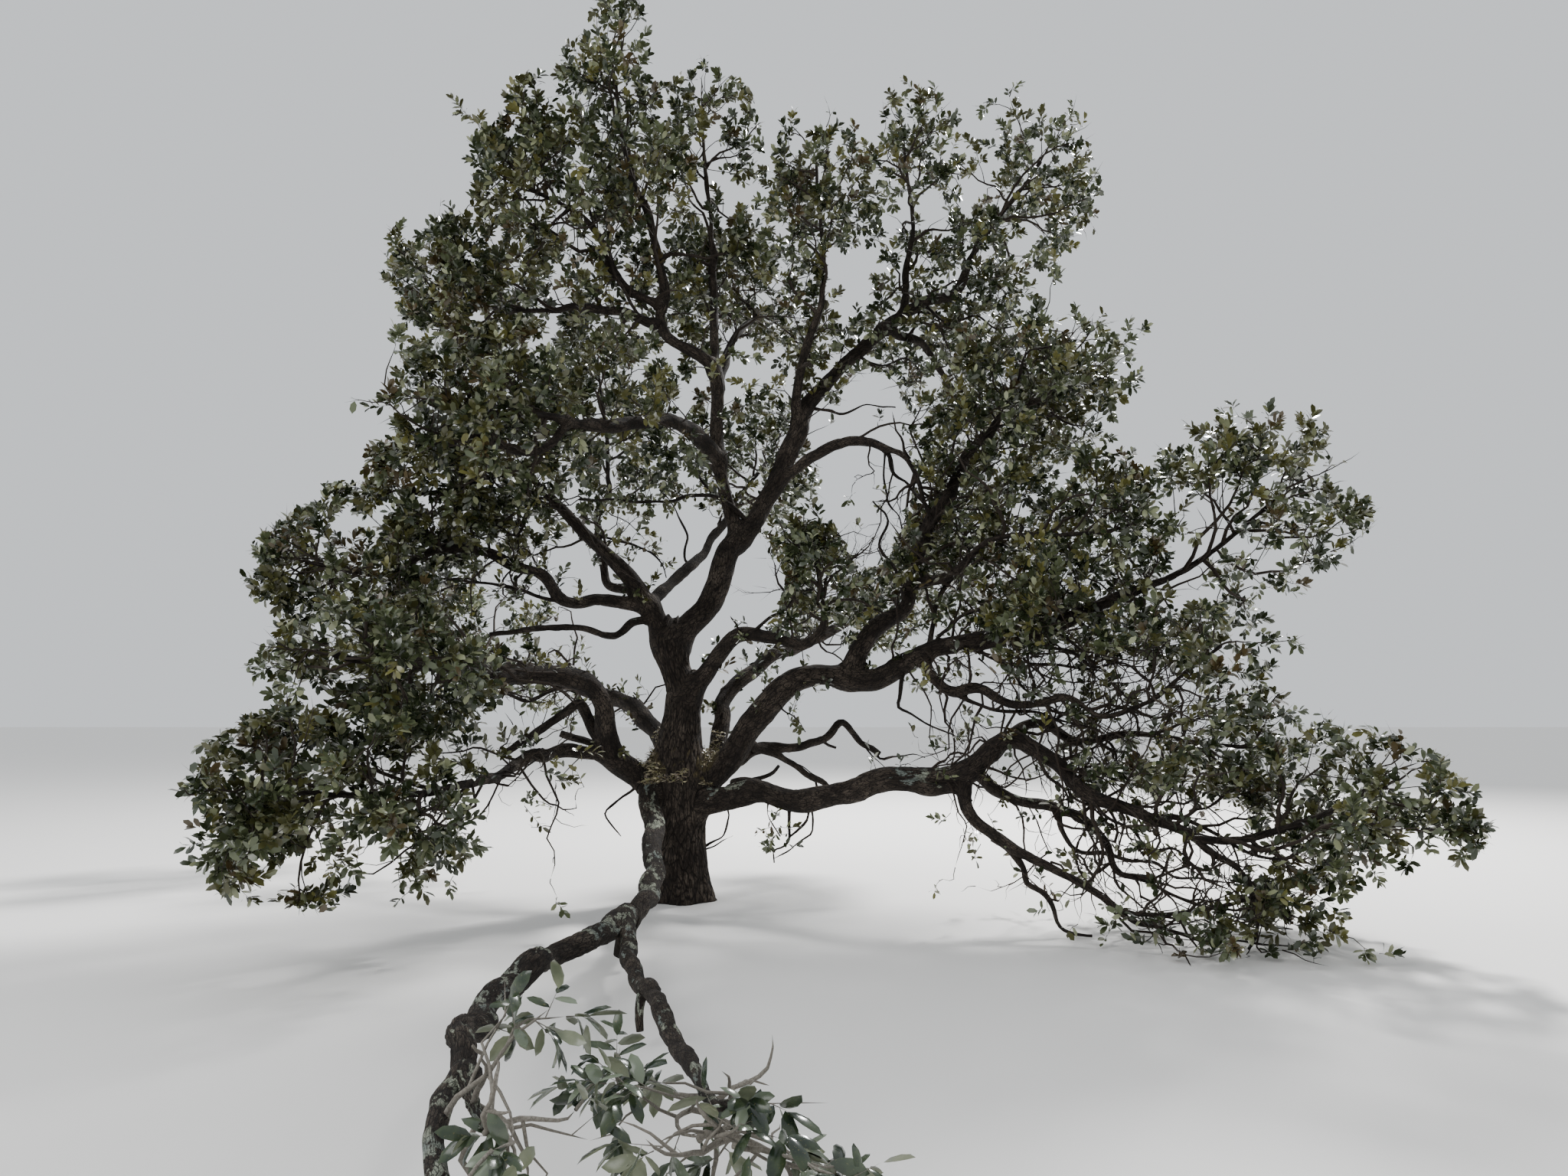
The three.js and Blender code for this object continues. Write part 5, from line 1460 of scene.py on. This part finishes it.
# Fallen leaves, straw and crumbled bark lie in the hollow where the low boughs part.
LITTER_COUNT, LITTER_LENGTH, STRAW_SHARE, STRAW_WIDTH, LEAF_WIDTH = 3600, 0.045, 0.85, 0.22, 0.8
low_wood = bpy.data.objects["trunk_and_low_boughs"].data.vertices
places, normals = np.empty((2, len(low_wood) * 3), np.float32)
low_wood.foreach_get("co", places)
low_wood.foreach_get("normal", normals)
places, normals = places.reshape(-1, 3), normals.reshape(-1, 3)
x, y, z = places.T
ragged = drift(places * 9, 5)
hanging = ((y < -0.1) & (x < 0.02 + 0.1 * ragged) & (ragged > -0.2)
           & (np.abs(z - 1.06 - 0.05 * ragged) < 0.05))
beds = np.nonzero(((normals[:, 2] > 0.45) | hanging) & (z > 0.98) & (z < 1.45)
                  & (np.linalg.norm(places[:, :2], axis=1) < 0.42))[0]
chosen = rng.choice(beds, LITTER_COUNT)
way = unit(rng.normal(0, 1, (LITTER_COUNT, 3)) * [1, 1, 0.35])
facing = normals[chosen] + rng.normal(0, 0.4, (LITTER_COUNT, 3))
litter = dict(way=way, face=square_to(way, facing),
              place=places[chosen] + normals[chosen] * rng.uniform(0, 0.014, (LITTER_COUNT, 1)),
              size=LITTER_LENGTH * rng.uniform(0.5, 1.2, LITTER_COUNT))
straws = round(STRAW_SHARE * LITTER_COUNT)
points, faces = joined([
    leaf_mesh(picked(litter, part), LEAF_OUTLINE * [1, width, 3], LEAF_FACES)
    for part, width in ((slice(0, straws), STRAW_WIDTH), (slice(straws, None), LEAF_WIDTH))])
litter_materials = [leaf_material(*row) for row in [
    ("dead_leaf_brown", "#6e6150"), ("dead_leaf_straw", "#a89d7e"),
    ("dead_leaf_dark", "#453c30"), ("dry_moss", "#7d7854")]]
piece = add_piece("crotch_litter", points, faces, litter_materials,
                  np.repeat(rng.integers(0, 4, LITTER_COUNT), len(LEAF_FACES)))

# A plain pale floor and plain soft light: one big lamp behind on the right, where the
# photograph has its sky, and a weaker one in front on the left.
FLOOR_SIZE, UNDER_TREE = 240, 0.001
bpy.ops.mesh.primitive_plane_add(size=FLOOR_SIZE, location=(0, 0, -UNDER_TREE))
floor = bpy.context.object
floor.name = "floor"
pale_floor, tree, surface = new_material("pale_floor")
set_inputs(tree, surface, {"Base Color": colour("#efedea"), "Roughness": 0.9})
floor.data.materials.append(pale_floor)

world = bpy.data.worlds.new("studio")
bpy.context.scene.world = world
world.use_nodes = True
set_inputs(world.node_tree, world.node_tree.nodes["Background"], {
    "Color": colour("#e4e8ec"), "Strength": 1.05})

LAMPS_AIM = Vector((0, 0, 3))
for name, place, size, power in [("back_lamp", (7, 9, 13), 2.4, 6200),
                                 ("front_lamp", (-7, -11, 9), 8, 900)]:
    light = bpy.data.lights.new(name, "AREA")
    light.size, light.energy = size, power
    lamp = bpy.data.objects.new(name, light)
    lamp.location = place
    lamp.rotation_euler = (LAMPS_AIM - lamp.location).to_track_quat("-Z", "Y").to_euler()
    bpy.context.scene.collection.objects.link(lamp)

# The camera stands 10 m in front at eye height, tilted up a little, as for the photograph.
CAMERA_TILT = math.radians(96.3)  # from straight down
lens = bpy.data.cameras.new("camera")
lens.lens, lens.sensor_width = 26, 36
camera = bpy.data.objects.new("camera", lens)
camera.location = EYE
camera.rotation_euler = (CAMERA_TILT, 0, 0)
bpy.context.scene.collection.objects.link(camera)
bpy.context.scene.camera = camera

bpy.context.view_layer.update()
